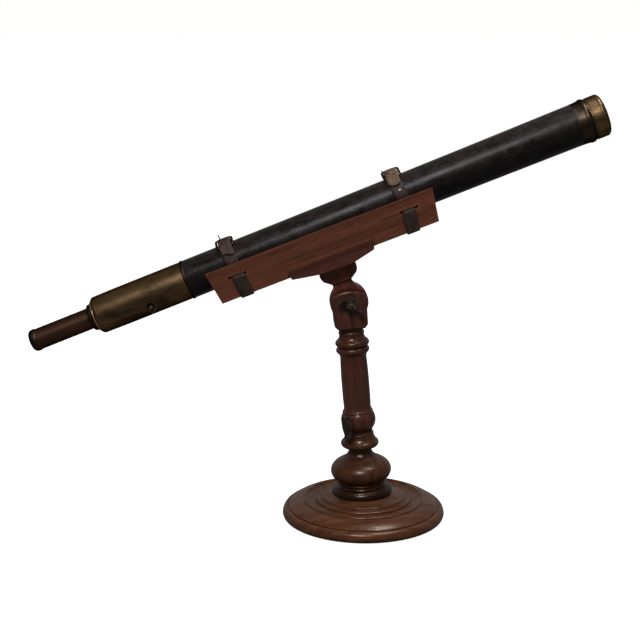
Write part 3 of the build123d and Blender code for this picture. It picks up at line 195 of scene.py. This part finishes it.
def wood(name, along, dark, light, rings=22.0, grime=4 * MM, wear=0.45, sooty=None, seed=0.0):
    """Waxed hardwood with growth rings, pores, dirt and painted shade in the grooves, and rubbed edges that
    also carry painted highlights.

    Below a given station along the grain, the wood is darkened with painted shade, as under the pedestal's
    bulb."""
    finish = Finish(name)
    straight = finish.grain_space(along)
    grain = finish.mapped(straight, offset=(seed, seed * 0.7, seed * 1.3))
    drawn = finish.mapped(grain, scale=(1, 1, 0.07), offset=(0.05, 0.02, 0))
    inputs = {"Vector": drawn, "Scale": rings, "Distortion": 5.0, "Detail": 3.0, "Detail Scale": 1.2}
    kind = {"wave_type": "RINGS", "rings_direction": "Z"}
    wave = finish.node("ShaderNodeTexWave", kind, inputs).outputs["Fac"]
    streaks = finish.noise(finish.mapped(grain, scale=(1, 1, 0.04)), 260, detail=6, rough=0.7)
    pores = finish.noise(finish.mapped(grain, scale=(1, 1, 0.03)), 1500, detail=2, rough=0.5)
    patches = finish.noise(grain, 30, detail=8, rough=0.68)
    figure = finish.mix(0.86, finish.ramp(wave, (0.1, 0.0), (0.9, 1.0)), streaks)
    colour = finish.mix(finish.ramp(figure, (0.24, 0.0), (0.70, 1.0)), dark, light)
    colour = finish.mix(finish.ramp(patches, (0.48, 0.0), (0.76, 0.4)), colour, shade(dark, 0.45))
    pits = finish.ramp(pores, (0.30, 1.0), (0.42, 0.0))
    colour = finish.mix(finish.math("MULTIPLY", pits, 0.7), colour, shade(dark, 0.25))
    # Grooves, gaps and corners darkened from ambient occlusion: dirt and painted shade.
    dirt = finish.ramp(finish.crevices(grime), (0.4, 0.92), (0.9, 0.0))
    # Painted shade: below the given station the wood is darkened further, as on the pedestal's foot under
    # the bulb.
    if sooty:
        station = finish.node("ShaderNodeSeparateXYZ", {}, {0: straight}).outputs["Z"]
        settled = finish.ramp(station, (sooty - 8 * MM, 0.85), (sooty, 0.0))
        dirt = finish.math("MAXIMUM", dirt, settled)
    colour = finish.mix(dirt, colour, shade(dark, 0.12))
    # Rubbed edges made lighter: wear, and painted highlights where the ring crests catch the light.
    patchy = finish.ramp(patches, (0.35, 0.1), (0.6, 1.0))
    rubbed = finish.math("MULTIPLY", finish.worn_edges(1.4 * MM, 0.006, 0.08), patchy)
    colour = finish.mix(finish.math("MULTIPLY", rubbed, wear), colour, shade(light, 1.8))
    scuffs = finish.noise(finish.mapped(grain, scale=(1, 1, 0.3)), 420, detail=8, rough=0.75)
    rough = finish.ramp(scuffs, (0.3, 0.16), (0.7, 0.42))
    dents = finish.noise(grain, 75, detail=3, rough=0.5)
    normal = finish.bump(dents, 0.3, 1.2 * MM)
    normal = finish.bump(pits, 0.3, -0.15 * MM, normal)
    normal = finish.bump(streaks, 0.16, 0.25 * MM, normal)
    finish.set(Base_Color=colour, Roughness=rough, Normal=normal, Specular_IOR_Level=0.26)
    finish.set(Specular_Tint=(1.0, 0.78, 0.62, 1), Coat_Weight=0.05, Coat_Roughness=0.12)
    return finish.material


def brass(name, bright, dull, stain, rough=0.34, seed=0.0, bands=()):
    """Old lacquered brass: patches of tarnish, fine turning or drawing marks, dirt with painted shade in the
    joints, and bands of painted light along the tube.
    """
    finish = Finish(name)
    place = finish.mapped(finish.grain_space(tube_along), offset=(seed, seed, seed))
    cloudy = finish.mapped(place, scale=(1, 1, 0.45))
    patches = finish.noise(cloudy, 38, detail=8, rough=0.68, distortion=0.6)
    spots = finish.noise(place, 320, detail=5, rough=0.7)
    drawn = finish.noise(finish.mapped(place, scale=(1, 1, 0.02)), 900, detail=3, rough=0.6)
    colour = finish.mix(finish.ramp(patches, (0.35, 0.0), (0.63, 1.0)), bright, dull)
    colour = finish.mix(finish.ramp(spots, (0.55, 0.0), (0.68, 0.5)), colour, stain)
    # Joints and hollows darkened from ambient occlusion: dirt and painted shade.
    dirt = finish.ramp(finish.crevices(5 * MM), (0.3, 0.9), (0.85, 0.0))
    colour = finish.mix(dirt, colour, shade(stain, 0.3))
    rubbed = finish.worn_edges(0.7 * MM)
    colour = finish.mix(finish.math("MULTIPLY", rubbed, 0.6), colour, shade(bright, 2.4))
    sheen = finish.ramp(patches, (0.3, rough - 0.06), (0.7, rough + 0.16))
    sheen = finish.mix(0.3, sheen, finish.ramp(spots, (0.3, rough), (0.7, rough + 0.3)))
    normal = finish.bump(drawn, 0.08, 0.1 * MM)
    normal = finish.bump(spots, 0.12, 0.12 * MM, normal)
    station = finish.node("ShaderNodeVectorMath", {"operation": "DOT_PRODUCT"})
    finish.feed(station.inputs[0], finish.place)
    finish.feed(station.inputs[1], tube_along)
    for side, edge, share in bands:
        # Each band lies before or past a station along the tube: the bright tint made lighter for a painted
        # highlight, darker for painted shade.
        in_band = finish.math("MULTIPLY", finish.math(side, station.outputs["Value"], edge), 0.85)
        colour = finish.mix(in_band, colour, shade(bright, share))
    metal = finish.ramp(dirt, (0.2, 1.0), (0.9, 0.35))
    finish.set(Base_Color=colour, Metallic=metal, Roughness=sheen, Normal=normal)
    finish.set(Specular_Tint=(*shade(dull, 3.0), 1), Specular_IOR_Level=0.3)
    return finish.material


def upper_side(finish):
    """1 on the upper near side of the barrel, which faces the light, and little underneath."""
    facing = finish.node("ShaderNodeNewGeometry").outputs["Normal"]
    made = finish.node("ShaderNodeVectorMath", {"operation": "DOT_PRODUCT"})
    finish.feed(made.inputs[0], facing)
    finish.feed(made.inputs[1], tube_up - ACROSS * 0.5)
    return finish.ramp(made.outputs["Value"], (0.1, 0.12), (0.85, 1.0))


def black_covering():
    """Black leather-cloth covering: fine pebbles, hand-polished, flecked, and painted lighter brown on its
    lit upper side as painted light.
    """
    finish = Finish("black_covering")
    place = finish.grain_space(tube_along)
    long_marks = finish.noise(finish.mapped(place, scale=(1, 1, 0.55)), 130, detail=8, rough=0.72)
    flecks = finish.noise(finish.mapped(place, scale=(1, 1, 0.6)), 520, detail=6, rough=0.75)
    patches = finish.noise(place, 18, detail=7, rough=0.62)
    pebbles = {"Vector": place, "Scale": 950}
    pebble = finish.node("ShaderNodeTexVoronoi", {"feature": "SMOOTH_F1"}, pebbles).outputs[0]
    blotches = finish.ramp(patches, (0.35, 0.0), (0.7, 1.0))
    colour = finish.mix(blotches, (0.0018, 0.0015, 0.0019), (0.0058, 0.0042, 0.0046))
    # Painted light: the upper near side, where light falls, is tinted brown-grey in long marks; the covering
    # itself is black.
    browned = finish.math("MULTIPLY", finish.ramp(long_marks, (0.3, 0.0), (0.8, 0.5)), upper_side(finish))
    colour = finish.mix(browned, colour, (0.038, 0.026, 0.023))
    # Worn flecks, kept to the lit upper near side.
    worn = finish.math("MULTIPLY", finish.ramp(flecks, (0.62, 0.0), (0.66, 0.6)), upper_side(finish))
    colour = finish.mix(worn, colour, (0.12, 0.095, 0.075))
    sheen = finish.ramp(patches, (0.3, 0.22), (0.7, 0.36))
    rough = finish.mix(0.3, sheen, finish.ramp(long_marks, (0.3, 0.26), (0.7, 0.6)))
    normal = finish.bump(pebble, 0.32, 0.25 * MM)
    normal = finish.bump(long_marks, 0.07, 0.5 * MM, normal)
    normal = finish.bump(patches, 0.12, 1.5 * MM, normal)
    level = finish.ramp(long_marks, (0.34, 0.06), (0.66, 0.15))
    finish.set(Base_Color=colour, Roughness=rough, Normal=normal, Specular_IOR_Level=level)
    finish.set(Specular_Tint=(0.93, 0.9, 0.95, 1))
    return finish.material


def leather(name, dark, light, rubbed, seed=0.0):
    """Old strap leather with pores, creases and rubbed edges, its tints in thousandths."""
    finish = Finish(name)
    dark, light, rubbed = (tuple(c / 1000 for c in tint) for tint in (dark, light, rubbed))
    place = finish.mapped(finish.place, offset=(seed, seed, seed))
    patches = finish.noise(place, 120, detail=6, rough=0.65)
    pores = {"Vector": place, "Scale": 1600}
    pebble = finish.node("ShaderNodeTexVoronoi", {"feature": "F1"}, pores).outputs[0]
    creases = finish.noise(finish.mapped(place, scale=(0.2, 1.4, 1.4)), 700, detail=5, rough=0.7)
    colour = finish.mix(finish.ramp(patches, (0.35, 0.0), (0.68, 1.0)), dark, light)
    colour = finish.mix(finish.ramp(creases, (0.58, 0.0), (0.7, 0.6)), colour, shade(dark, 0.3))
    # Hollows and corners darkened from ambient occlusion: dirt and painted shade.
    dirt = finish.ramp(finish.crevices(3 * MM), (0.3, 0.75), (0.85, 0.0))
    colour = finish.mix(dirt, colour, shade(dark, 0.2))
    edges = finish.math("MULTIPLY", finish.worn_edges(0.6 * MM, 0.01, 0.12), 0.75)
    colour = finish.mix(edges, colour, rubbed)
    shine = finish.ramp(patches, (0.3, 0.44), (0.7, 0.66))
    normal = finish.bump(pebble, 0.22, 0.2 * MM)
    normal = finish.bump(creases, 0.3, 0.35 * MM, normal)
    finish.set(Base_Color=colour, Roughness=shine, Normal=normal, Specular_IOR_Level=0.16)
    return finish.material


def iron():
    """Browned iron fittings with a little rust and rubbed bright edges."""
    finish = Finish("iron")
    patches = finish.noise(finish.place, 160, detail=8, rough=0.7, distortion=0.4)
    pits = finish.noise(finish.place, 900, detail=4, rough=0.6)
    blotches = finish.ramp(patches, (0.38, 0.0), (0.62, 1.0))
    colour = finish.mix(blotches, (0.022, 0.015, 0.012), (0.062, 0.038, 0.028))
    colour = finish.mix(finish.ramp(pits, (0.60, 0.0), (0.70, 0.7)), colour, (0.060, 0.028, 0.014))
    rubbed = finish.worn_edges(0.6 * MM)
    colour = finish.mix(finish.math("MULTIPLY", rubbed, 0.7), colour, (0.20, 0.165, 0.12))
    metal = finish.ramp(patches, (0.4, 0.9), (0.7, 0.45))
    rough = finish.ramp(pits, (0.3, 0.36), (0.7, 0.62))
    normal = finish.bump(patches, 0.25, 0.5 * MM)
    normal = finish.bump(pits, 0.35, 0.2 * MM, normal)
    finish.set(Base_Color=colour, Metallic=metal, Roughness=rough, Normal=normal)
    return finish.material


def cloth(name, dark, light, weave):
    """Felted cloth: short fibres over a faint weave."""
    finish = Finish(name)
    fibres = finish.noise(finish.mapped(finish.place, scale=(1, 0.3, 1)), weave, detail=8, rough=0.8)
    patches = finish.noise(finish.place, 40, detail=4)
    colour = finish.mix(finish.ramp(fibres, (0.3, 0.0), (0.7, 1.0)), dark, light)
    colour = finish.mix(finish.ramp(patches, (0.45, 0.0), (0.75, 0.5)), colour, shade(dark, 0.4))
    normal = finish.bump(fibres, 0.6, 0.4 * MM)
    finish.set(Base_Color=colour, Roughness=0.95, Normal=normal, Sheen_Weight=0.3, Specular_IOR_Level=0.1)
    return finish.material


def lens_glass():
    """Old uncoated lens glass with a faint haze and a few wipe marks."""
    finish = Finish("lens_glass")
    haze = finish.noise(finish.place, 90, detail=6, rough=0.6)
    wipes = finish.noise(finish.mapped(finish.place, scale=(1, 0.15, 1)), 500, detail=5, rough=0.7)
    rough = finish.ramp(haze, (0.4, 0.01), (0.8, 0.06))
    normal = finish.bump(wipes, 0.01, 0.05 * MM)
    finish.set(Base_Color=(0.93, 0.97, 0.96, 1), Roughness=rough, Normal=normal)
    finish.set(Transmission_Weight=1.0, IOR=1.5)
    return finish.material


def blacking():
    """Matt black paint inside the tubes, rubbed thin in places."""
    finish = Finish("blacking")
    patches = finish.noise(finish.place, 240, detail=6, rough=0.7)
    thin = finish.ramp(patches, (0.55, 0.0), (0.75, 0.5))
    colour = finish.mix(thin, (0.006, 0.006, 0.006), (0.05, 0.035, 0.02))
    normal = finish.bump(patches, 0.2, 0.2 * MM)
    rough = finish.ramp(patches, (0.3, 0.9), (0.7, 0.7))
    finish.set(Base_Color=colour, Roughness=rough, Normal=normal)
    return finish.material


# ---- materials ----


def timber(name, along, dark, light, **more):
    """Wood from its dark and light tints, each (red, green, blue) in thousandths."""
    tints = [tuple(c / 1000 for c in tint) for tint in (dark, light)]
    return wood(name, along, *tints, **more)


# The base's ring edges are lightened in full: wear and painted highlights on the crests.
base_wood = timber("base_wood", (1, 0.15, 0), (24, 8.6, 3.8), (94, 33, 13.5), grime=10 * MM, wear=1.0)
# The pedestal's foot gets painted shade under its bulb, and its deep grooves get dirt and painted shade.
pedestal_wood = timber(
    "pedestal_wood", pedestal_up, (17, 5.6, 2.8), (68, 22.5, 9.6), grime=22 * MM, sooty=SOOT_HEIGHT, seed=1.1
)
pillar_wood = timber("pillar_wood", pillar_up, (22, 7, 4.6), (72, 23.5, 15), seed=2.3)
# The tongue is the same wood as the fork, tinted about twice as light: painted light that offsets the shade
# in the fork's slot.
tongue_wood = timber("tongue_wood", tube_up, (48, 13, 7), (145, 41, 22), seed=3.7)
saddle_wood = timber("saddle_wood", trough_along, (24, 7, 5), (68, 21, 14.5), seed=4.9)
trough_wood = timber("trough_wood", trough_along, (44, 14, 7.4), (108, 35, 19), rings=16, wear=0.9, seed=5)
floor_wood = timber("floor_wood", trough_along, (50, 15, 7), (110, 37, 17), rings=16, seed=6.4)


def metal(name, bright, dull, stain, **more):
    """Brass from its bright, dull and stained tints, each (red, green, blue) in thousandths."""
    tints = [tuple(c / 1000 for c in tint) for tint in (bright, dull, stain)]
    return brass(name, *tints, **more)


def reach_along(name):
    """First and last station of a node along the tube, counted from the origin."""
    stations = [v.co.dot(tube_along) for v in frame["nodes"][name].data.vertices]
    return min(stations), max(stations)


# Bands of painted light as (side, station, shade of the bright tint).
# Painted highlight: the bright rim line on the tail's front edge.
bright_lip = ("LESS_THAN", reach_along("tail_tube")[0] + 1.3 * MM, 5.0)
# Painted shade: the dark shading on the objective cell's rounded front rim.
dark_rim = ("GREATER_THAN", reach_along("objective_cell")[1] - 2.6 * MM, 0.25)
tail_brass = metal("tail_brass", (175, 108, 54), (38, 24, 14), (20, 11, 7), rough=0.3, bands=[bright_lip])
draw_brass = metal("draw_brass", (92, 46, 28), (50, 25, 17), (24, 12, 8), seed=1.4)
cell_brass = metal(
    "cell_brass", (200, 130, 62), (46, 30, 17), (22, 14, 9), rough=0.3, seed=2.4, bands=[dark_rim]
)
ferrule_brass = metal("ferrule_brass", (48, 34, 24), (18, 13, 10), (12, 9, 7), seed=3.4)
rivet_brass = metal("rivet_brass", (110, 76, 48), (56, 38, 24), (20, 13, 8), rough=0.40, seed=4.4)
cap_brass = metal("cap_brass", (50, 34, 24), (21, 14, 11), (10, 7, 6), seed=5.4)
inner_brass = metal("inner_brass", (300, 200, 95), (150, 95, 45), (40, 25, 13), seed=6.4)
buckle_brass = metal("buckle_brass", (90, 56, 36), (40, 25, 17), (14, 9, 6), seed=7.4)

strap_leather = leather("strap_leather", (10, 6, 4.6), (30, 17, 13), (84, 54, 38), seed=0.2)
tip_leather = leather("tip_leather", (16, 9, 6.4), (44, 25, 17), (150, 100, 64), seed=1.2)
tan_leather = leather("tan_leather", (42, 25, 14), (112, 72, 41), (270, 190, 120), seed=2.2)

covering = black_covering()
fittings_iron = iron()
baize = cloth("baize", (0.006, 0.030, 0.014), (0.018, 0.065, 0.032), 1500)
felt = cloth("felt", (0.020, 0.012, 0.009), (0.050, 0.032, 0.024), 1300)
glass = lens_glass()
inside_black = blacking()

LOOKS = {
    base_wood: ["base_disc"],
    pedestal_wood: ["pedestal"],
    pillar_wood: ["pillar"],
    tongue_wood: ["tongue"],
    saddle_wood: ["saddle_block"],
    trough_wood: ["trough_side_near", "trough_side_far"],
    floor_wood: ["trough_floor"],
    tail_brass: ["tail_tube"],
    draw_brass: ["draw_tube"],
    cell_brass: ["objective_cell"],
    ferrule_brass: ["front_ferrule", "joint_bead"],
    rivet_brass: ["strap_rivets"],
    cap_brass: ["eyepiece_cap", "gland_nut", "gland_body", "arbor_bush", "focus_pinion", "tail_screws"],
    inner_brass: ["barrel_tube", "inner_guide", "focus_rack", "pinion_bracket"],
    buckle_brass: ["rear_buckle", "front_buckle", "rear_prong", "front_prong"],
    strap_leather: ["rear_strap", "front_strap"],
    covering: ["leather_sleeve"],
    baize: ["baize_pad"],
    felt: ["rear_rest", "front_rest", "gland_packing"],
    glass: ["crown_lens", "flint_lens", "eye_lens", "field_lens", "rear_erector_lens", "front_erector_lens"],
    inside_black: ["glare_stop", "retaining_ring", "field_stop", "erector_tube", "erector_stop"],
    fittings_iron: [
        "base_screw", "swivel_spindle", "spindle_washer", "thumbscrew", "pivot_bolt", "bolt_washer",
        "nut_washer", "wing_nut", "tongue_screws", "saddle_screws", "thumb_bush",
    ],
}

for material, names in LOOKS.items():
    for name in names:
        node = frame["nodes"][name]
        node.data.materials.clear()
        node.data.materials.append(material)


# ---- soft pieces and buckles ----

# Stray of each strap along the trough: at its slot, then its slope above and below the slot.
STRAYS = {"rear": (2.5 * MM, -0.0865, -0.0865), "front": (2.6 * MM, -0.095, 0.124)}
# One side of a strap's outline as (across, through) shares of half its width and thickness.
STRAP_EDGE = (
    (-0.95, 0.97), (-0.6, 1.0), (-0.2, 1.0), (0.2, 1.0), (0.6, 1.0), (0.95, 0.97), (1.0, 0.6), (1.02, 0.0),
)
STRAP_OUTLINE = STRAP_EDGE + tuple((-a, -b) for a, b in STRAP_EDGE)


def span(node, direction):
    """Lowest and highest reach of a CAD node along a direction, counted from the pivot."""
    reach = [(v.co - pivot).dot(direction) for v in frame["nodes"][node].data.vertices]
    return min(reach), max(reach)


def skin(name, rings, material, closed):
    """Mesh through rings of points, with capped ends if it isn't a closed loop."""
    count = len(rings[0])
    faces = []
    for r in range(len(rings) if closed else len(rings) - 1):
        following = (r + 1) % len(rings)
        for c in range(count):
            d = (c + 1) % count
            faces.append((r * count + c, r * count + d, following * count + d, following * count + c))
    if not closed:
        faces.append(tuple(range(count))[::-1])
        faces.append(tuple((len(rings) - 1) * count + c for c in range(count)))
    mesh = bpy.data.meshes.new(name)
    mesh.from_pydata([tuple(p) for ring in rings for p in ring], [], faces)
    mesh.polygons.foreach_set("use_smooth", [True] * len(mesh.polygons))
    mesh.materials.append(material)
    made = bpy.data.objects.new(name, mesh)
    bpy.context.scene.collection.objects.link(made)
    return made


def smooth_line(points, steps):
    """Curve through the points, with the given number of steps between each two."""
    ends = [points[0] * 2 - points[1]] + list(points) + [points[-1] * 2 - points[-2]]
    line = []
    for a, b, c, d in zip(ends, ends[1:], ends[2:], ends[3:]):
        for step in range(steps):
            t = step / steps
            bend = (2 * a - 5 * b + 4 * c - d) * t * t + (3 * b - a - 3 * c + d) * t**3
            line.append((2 * b + (c - a) * t + bend) / 2)
    return line + [points[-1]]


def rounded_corner(before, corner, after, radius, steps=7):
    """Points of a smooth bend that replaces a corner."""
    first = (before - corner).normalized() * radius
    second = (after - corner).normalized() * radius
    share = [step / steps for step in range(steps + 1)]
    return [corner + first * (1 - t) ** 2 + second * t**2 for t in share]


def ribbon(name, line, side, limits, thickness, material, closed=False):
    """Strap along a line. limits(share) gives its two edges, measured along side."""
    rings = []
    for n, point in enumerate(line):
        if closed:
            forward = line[(n + 1) % len(line)] - line[n - 1]
        else:
            forward = line[min(n + 1, len(line) - 1)] - line[max(n - 1, 0)]
        out = forward.cross(side).normalized()
        low, high = limits(n / (len(line) - 1))
        middle, half = (low + high) / 2, (high - low) / 2
        centre = point + side * middle
        rings.append([centre + side * (half * a) + out * (thickness / 2 * b) for a, b in STRAP_OUTLINE])
    return skin(name, rings, material, closed)


class Strapping:
    """Where one strap runs: round the tube, down inside the trough, out of its slots and underneath.

    The bar is the middle of the near side of its buckle, which lies on the strap."""

    def __init__(self, end):
        self.node = f"{end}_strap"
        self.at_slot, self.above, self.below = STRAYS[end]
        low, high = span(self.node, trough_along)
        self.place, self.width = (low + high) / 2, high - low
        skew = radians(TUBE_PITCH - TROUGH_PITCH)
        self.centre = TUBE_OVER_PIVOT / cos(skew) + self.place * sin(skew) / cos(skew)
        self.radius = span(self.node, trough_up)[1] - self.centre - STRAP_THICKNESS / 2
        self.outside = span(self.node, ACROSS)[1] - STRAP_THICKNESS / 2
        self.under = span(self.node, trough_up)[0] + STRAP_THICKNESS / 2
        hinge = joint_place(f"{end}_prong_lift")
        low, high = span(f"{end}_buckle", trough_along)
        self.bar = hinge + trough_along * ((low + high) / 2 - (hinge - pivot).dot(trough_along))
        self.bar_turn = 90 + degrees(asin(-self.bar.y / (self.radius + STRAP_THICKNESS)))

    def at(self, across, up):
        """Point beside and above the pivot, strayed along the trough as the strap does."""
        rise = up - SLOT_OUTSIDE
        stray = self.at_slot + rise * (self.above if rise > 0 else self.below)
        return pivot + trough_along * (self.place + stray) + trough_up * up + ACROSS * across

    def on_tube(self, degrees, lift):
        """Point above the strap where it lies on the tube; 0 is the far side and 180 the near side."""
        turn = radians(degrees)
        reach = self.radius + lift
        return self.at(reach * cos(turn), self.centre + reach * sin(turn))

    def loop(self):
        """Closed middle line of the main strap."""
        line = [self.on_tube(degrees, 0) for degrees in range(0, 181, 5)]
        near = [
            self.at(-self.radius, SLOT_INSIDE),
            self.at(-self.outside, SLOT_OUTSIDE),
            self.at(-self.outside, self.under),
            self.at(self.outside, self.under),
            self.at(self.outside, SLOT_OUTSIDE),
            self.at(self.radius, SLOT_INSIDE),
        ]
        corners = [line[-1]] + near + [line[0]]
        bends = (1.4, 1.4, 1.2, 1.2, 1.4, 1.4)
        for n, bend in enumerate(bends, 1):
            line += rounded_corner(corners[n - 1], corners[n], corners[n + 1], bend * MM)
            if n in (2, 3, 4):
                line += [corners[n].lerp(corners[n + 1], share) for share in (0.2, 0.35, 0.5, 0.65, 0.8)]
        return line


def main_strap(end):
    """The leather of one strap, with slightly uneven edges. Returns where it runs."""
    run = Strapping(end)
    half = run.width / 2

    def limits(share):
        wave = 0.22 * MM * sin(23 * share + run.place * 90) + 0.12 * MM * sin(61 * share)
        return -half + 0.35 * MM + wave, half - 0.35 * MM + wave * 0.6

    name = f"{end}_strap_leather"
    made = ribbon(name, run.loop(), -trough_along, limits, STRAP_THICKNESS, strap_leather, closed=True)
    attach(made, "cradle")
    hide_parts(run.node)
    return run


def buckle_directions():
    """Unit vectors from a buckle's near bar to its far bar, and up out of its plane."""
    tip = radians(BUCKLE_TILT)
    return ACROSS * cos(tip) + trough_up * sin(tip), trough_up * cos(tip) - ACROSS * sin(tip)


def strap_tip(end, run, reach, material, cut):
    """Free end: up from the far side through the buckle, over its near bar, hanging on the near side."""
    above = (STRAP_THICKNESS + TIP_THICKNESS) / 2 + 0.03 * MM
    turn = run.bar_turn
    over, raised = buckle_directions()
    clear = WIRE_RADIUS + TIP_THICKNESS / 2 + 0.1 * MM
    points = [
        run.on_tube(48, above),
        run.on_tube(62, above),
        run.bar + over * (BUCKLE_REACH + 1 * MM) - raised * clear,
        run.bar + over * (BUCKLE_REACH - 4.5 * MM) + raised * 1.1 * MM,
        run.bar + over * 6 * MM + raised * 1.6 * MM,
        run.bar + raised * clear,
        run.on_tube(turn + 12, above + 1.0 * MM),
        run.on_tube(turn + 22, above + 0.5 * MM),
        run.on_tube(turn + reach - 8, above + 0.7 * MM),
        run.on_tube(turn + reach, above + 1.6 * MM),
    ]
    half = run.width / 2 - 0.6 * MM
    line = smooth_line(points, 8)

    def limits(share):
        wave = 0.15 * MM * sin(9 * share)
        close = max(0.0, (share - 0.86) / 0.14)
        if cut == "slanted":
            return -half + wave, half + wave - 1.5 * half * close
        rounded = half * sqrt(max(0.02, 1 - close * close))
        return -rounded + wave, rounded + wave

    made = ribbon(f"{end}_strap_tip", line, -trough_along, limits, TIP_THICKNESS, material)
    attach(made, "cradle")


def buckle_frame(end, run):
    """Bent wire frame of a buckle, a little bowed, standing up from its near bar."""
    node = f"{end}_buckle"
    low, high = span(node, trough_along)
    half_length = (high - low) / 2 - WIRE_RADIUS
    over, raised = buckle_directions()
    near_side = [(-1, 0.0), (-0.5, 0.0), (0, 0.0), (0.5, 0.0), (1, 0.0), (1, 0.5)]
    rim = near_side + [(-a, 1 - b) for a, b in near_side]
    corners = []
    for a, b in rim:
        bow = (1 - a * a) * b * 0.5 * MM
        along = trough_along * (a * half_length)
        corners.append(run.bar + along + over * (b * BUCKLE_REACH + bow) + raised * bow)
    line = []
    for n, corner in enumerate(corners):
        before, after = corners[n - 1], corners[(n + 1) % len(corners)]
        is_corner = abs(rim[n][0]) == 1 and rim[n][1] != 0.5
        line += rounded_corner(before, corner, after, BUCKLE_CORNER if is_corner else 0.8 * MM)
    rings = []
    for n, point in enumerate(line):
        forward = (line[(n + 1) % len(line)] - line[n - 1]).normalized()
        out = forward.cross(raised).normalized()
        wide, flat = out * (WIRE_RADIUS * 1.08), raised * (WIRE_RADIUS * 0.88)
        turns = [2 * pi * k / WIRE_SIDES for k in range(WIRE_SIDES)]
        rings.append([point + wide * cos(t) + flat * sin(t) for t in turns])
    made = skin(f"{end}_buckle_wire", rings, buckle_brass, closed=True)
    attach(made, "cradle")
    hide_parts(node)


# Each strap's end, how far its tip hangs round the tube in degrees, its leather and how it is cut.
TIPS = (("rear", 31, tip_leather, "slanted"), ("front", 33, tan_leather, "rounded"))
for end, reach, material, cut in TIPS:
    run = main_strap(end)
    strap_tip(end, run, reach, material, cut)
    buckle_frame(end, run)


# ---- stage, light and camera ----

def make_floor():
    """Pale table top. The camera sees it brighter than it shines on the telescope."""
    finish = Finish("floor")
    speckle = finish.noise(finish.place, 900, detail=3)
    seen = finish.node("ShaderNodeLightPath").outputs["Is Camera Ray"]
    colour = finish.mix(seen, (0.17, 0.165, 0.16), (0.42, 0.42, 0.42))
    glow = finish.math("MULTIPLY", seen, 0.9)
    rough = finish.ramp(speckle, (0.3, 0.85), (0.7, 0.95))
    finish.set(Base_Color=colour, Roughness=rough, Specular_IOR_Level=0.1)
    finish.set(Emission_Color=(1, 1, 1, 1), Emission_Strength=glow)
    bpy.ops.mesh.primitive_circle_add(vertices=96, radius=FLOOR_RADIUS, fill_type="NGON")
    floor = bpy.context.object
    floor.name = "floor"
    floor.data.materials.append(finish.material)


def make_world():
    """Pale room, brighter beyond the telescope than on the camera's side. The camera sees it white."""
    world = bpy.data.worlds.new("room")
    bpy.context.scene.world = world
    world.use_nodes = True
    tree = world.node_tree
    background = tree.nodes["Background"]
    place = tree.nodes.new("ShaderNodeTexCoord")
    split = tree.nodes.new("ShaderNodeSeparateXYZ")
    tree.links.new(place.outputs["Generated"], split.inputs[0])
    spread = tree.nodes.new("ShaderNodeMapRange")
    spread.inputs["From Min"].default_value = -0.6
    spread.inputs["From Max"].default_value = 0.7
    spread.inputs["To Min"].default_value = ROOM_FRONT
    spread.inputs["To Max"].default_value = ROOM_BACK
    tree.links.new(split.outputs["Y"], spread.inputs["Value"])
    seen = tree.nodes.new("ShaderNodeLightPath").outputs["Is Camera Ray"]
    brightest = tree.nodes.new("ShaderNodeMath")
    brightest.operation = "MAXIMUM"
    tree.links.new(seen, brightest.inputs[0])
    tree.links.new(spread.outputs["Result"], brightest.inputs[1])
    tree.links.new(brightest.outputs[0], background.inputs["Strength"])
    background.inputs["Color"].default_value = (1, 0.995, 0.99, 1)


def soft_light(name, place, target, size, power):
    """Rectangular lamp that faces its target."""
    data = bpy.data.lights.new(name, "AREA")
    data.shape = "RECTANGLE"
    data.size, data.size_y = size
    data.energy = power
    light = bpy.data.objects.new(name, data)
    bpy.context.scene.collection.objects.link(light)
    light.location = place
    light.rotation_mode = "QUATERNION"
    light.rotation_quaternion = (Vector(target) - Vector(place)).to_track_quat("-Z", "Y")


def make_camera():
    """Long lens from the front, a little above the telescope."""
    down, aside = radians(CAMERA_DOWN), radians(CAMERA_ASIDE)
    forward = Vector((sin(aside) * cos(down), cos(aside) * cos(down), -sin(down)))
    data = bpy.data.cameras.new("camera")
    data.sensor_width = 36
    data.lens = CAMERA_LENS
    camera = bpy.data.objects.new("camera", data)
    bpy.context.scene.collection.objects.link(camera)
    camera.location = CAMERA_PLACE
    camera.rotation_mode = "QUATERNION"
    camera.rotation_quaternion = forward.to_track_quat("-Z", "Y")
    bpy.context.scene.camera = camera


make_floor()
make_world()
soft_light("key_light", (-0.3, -1.4, 1.6), (0, 0, 0.3), (0.5, 0.5), 32)
soft_light("top_light", (0.55, -0.1, 2.1), (0, 0, 0.3), (0.7, 0.5), 28)
make_camera()
bpy.context.scene.view_settings.view_transform = "Standard"
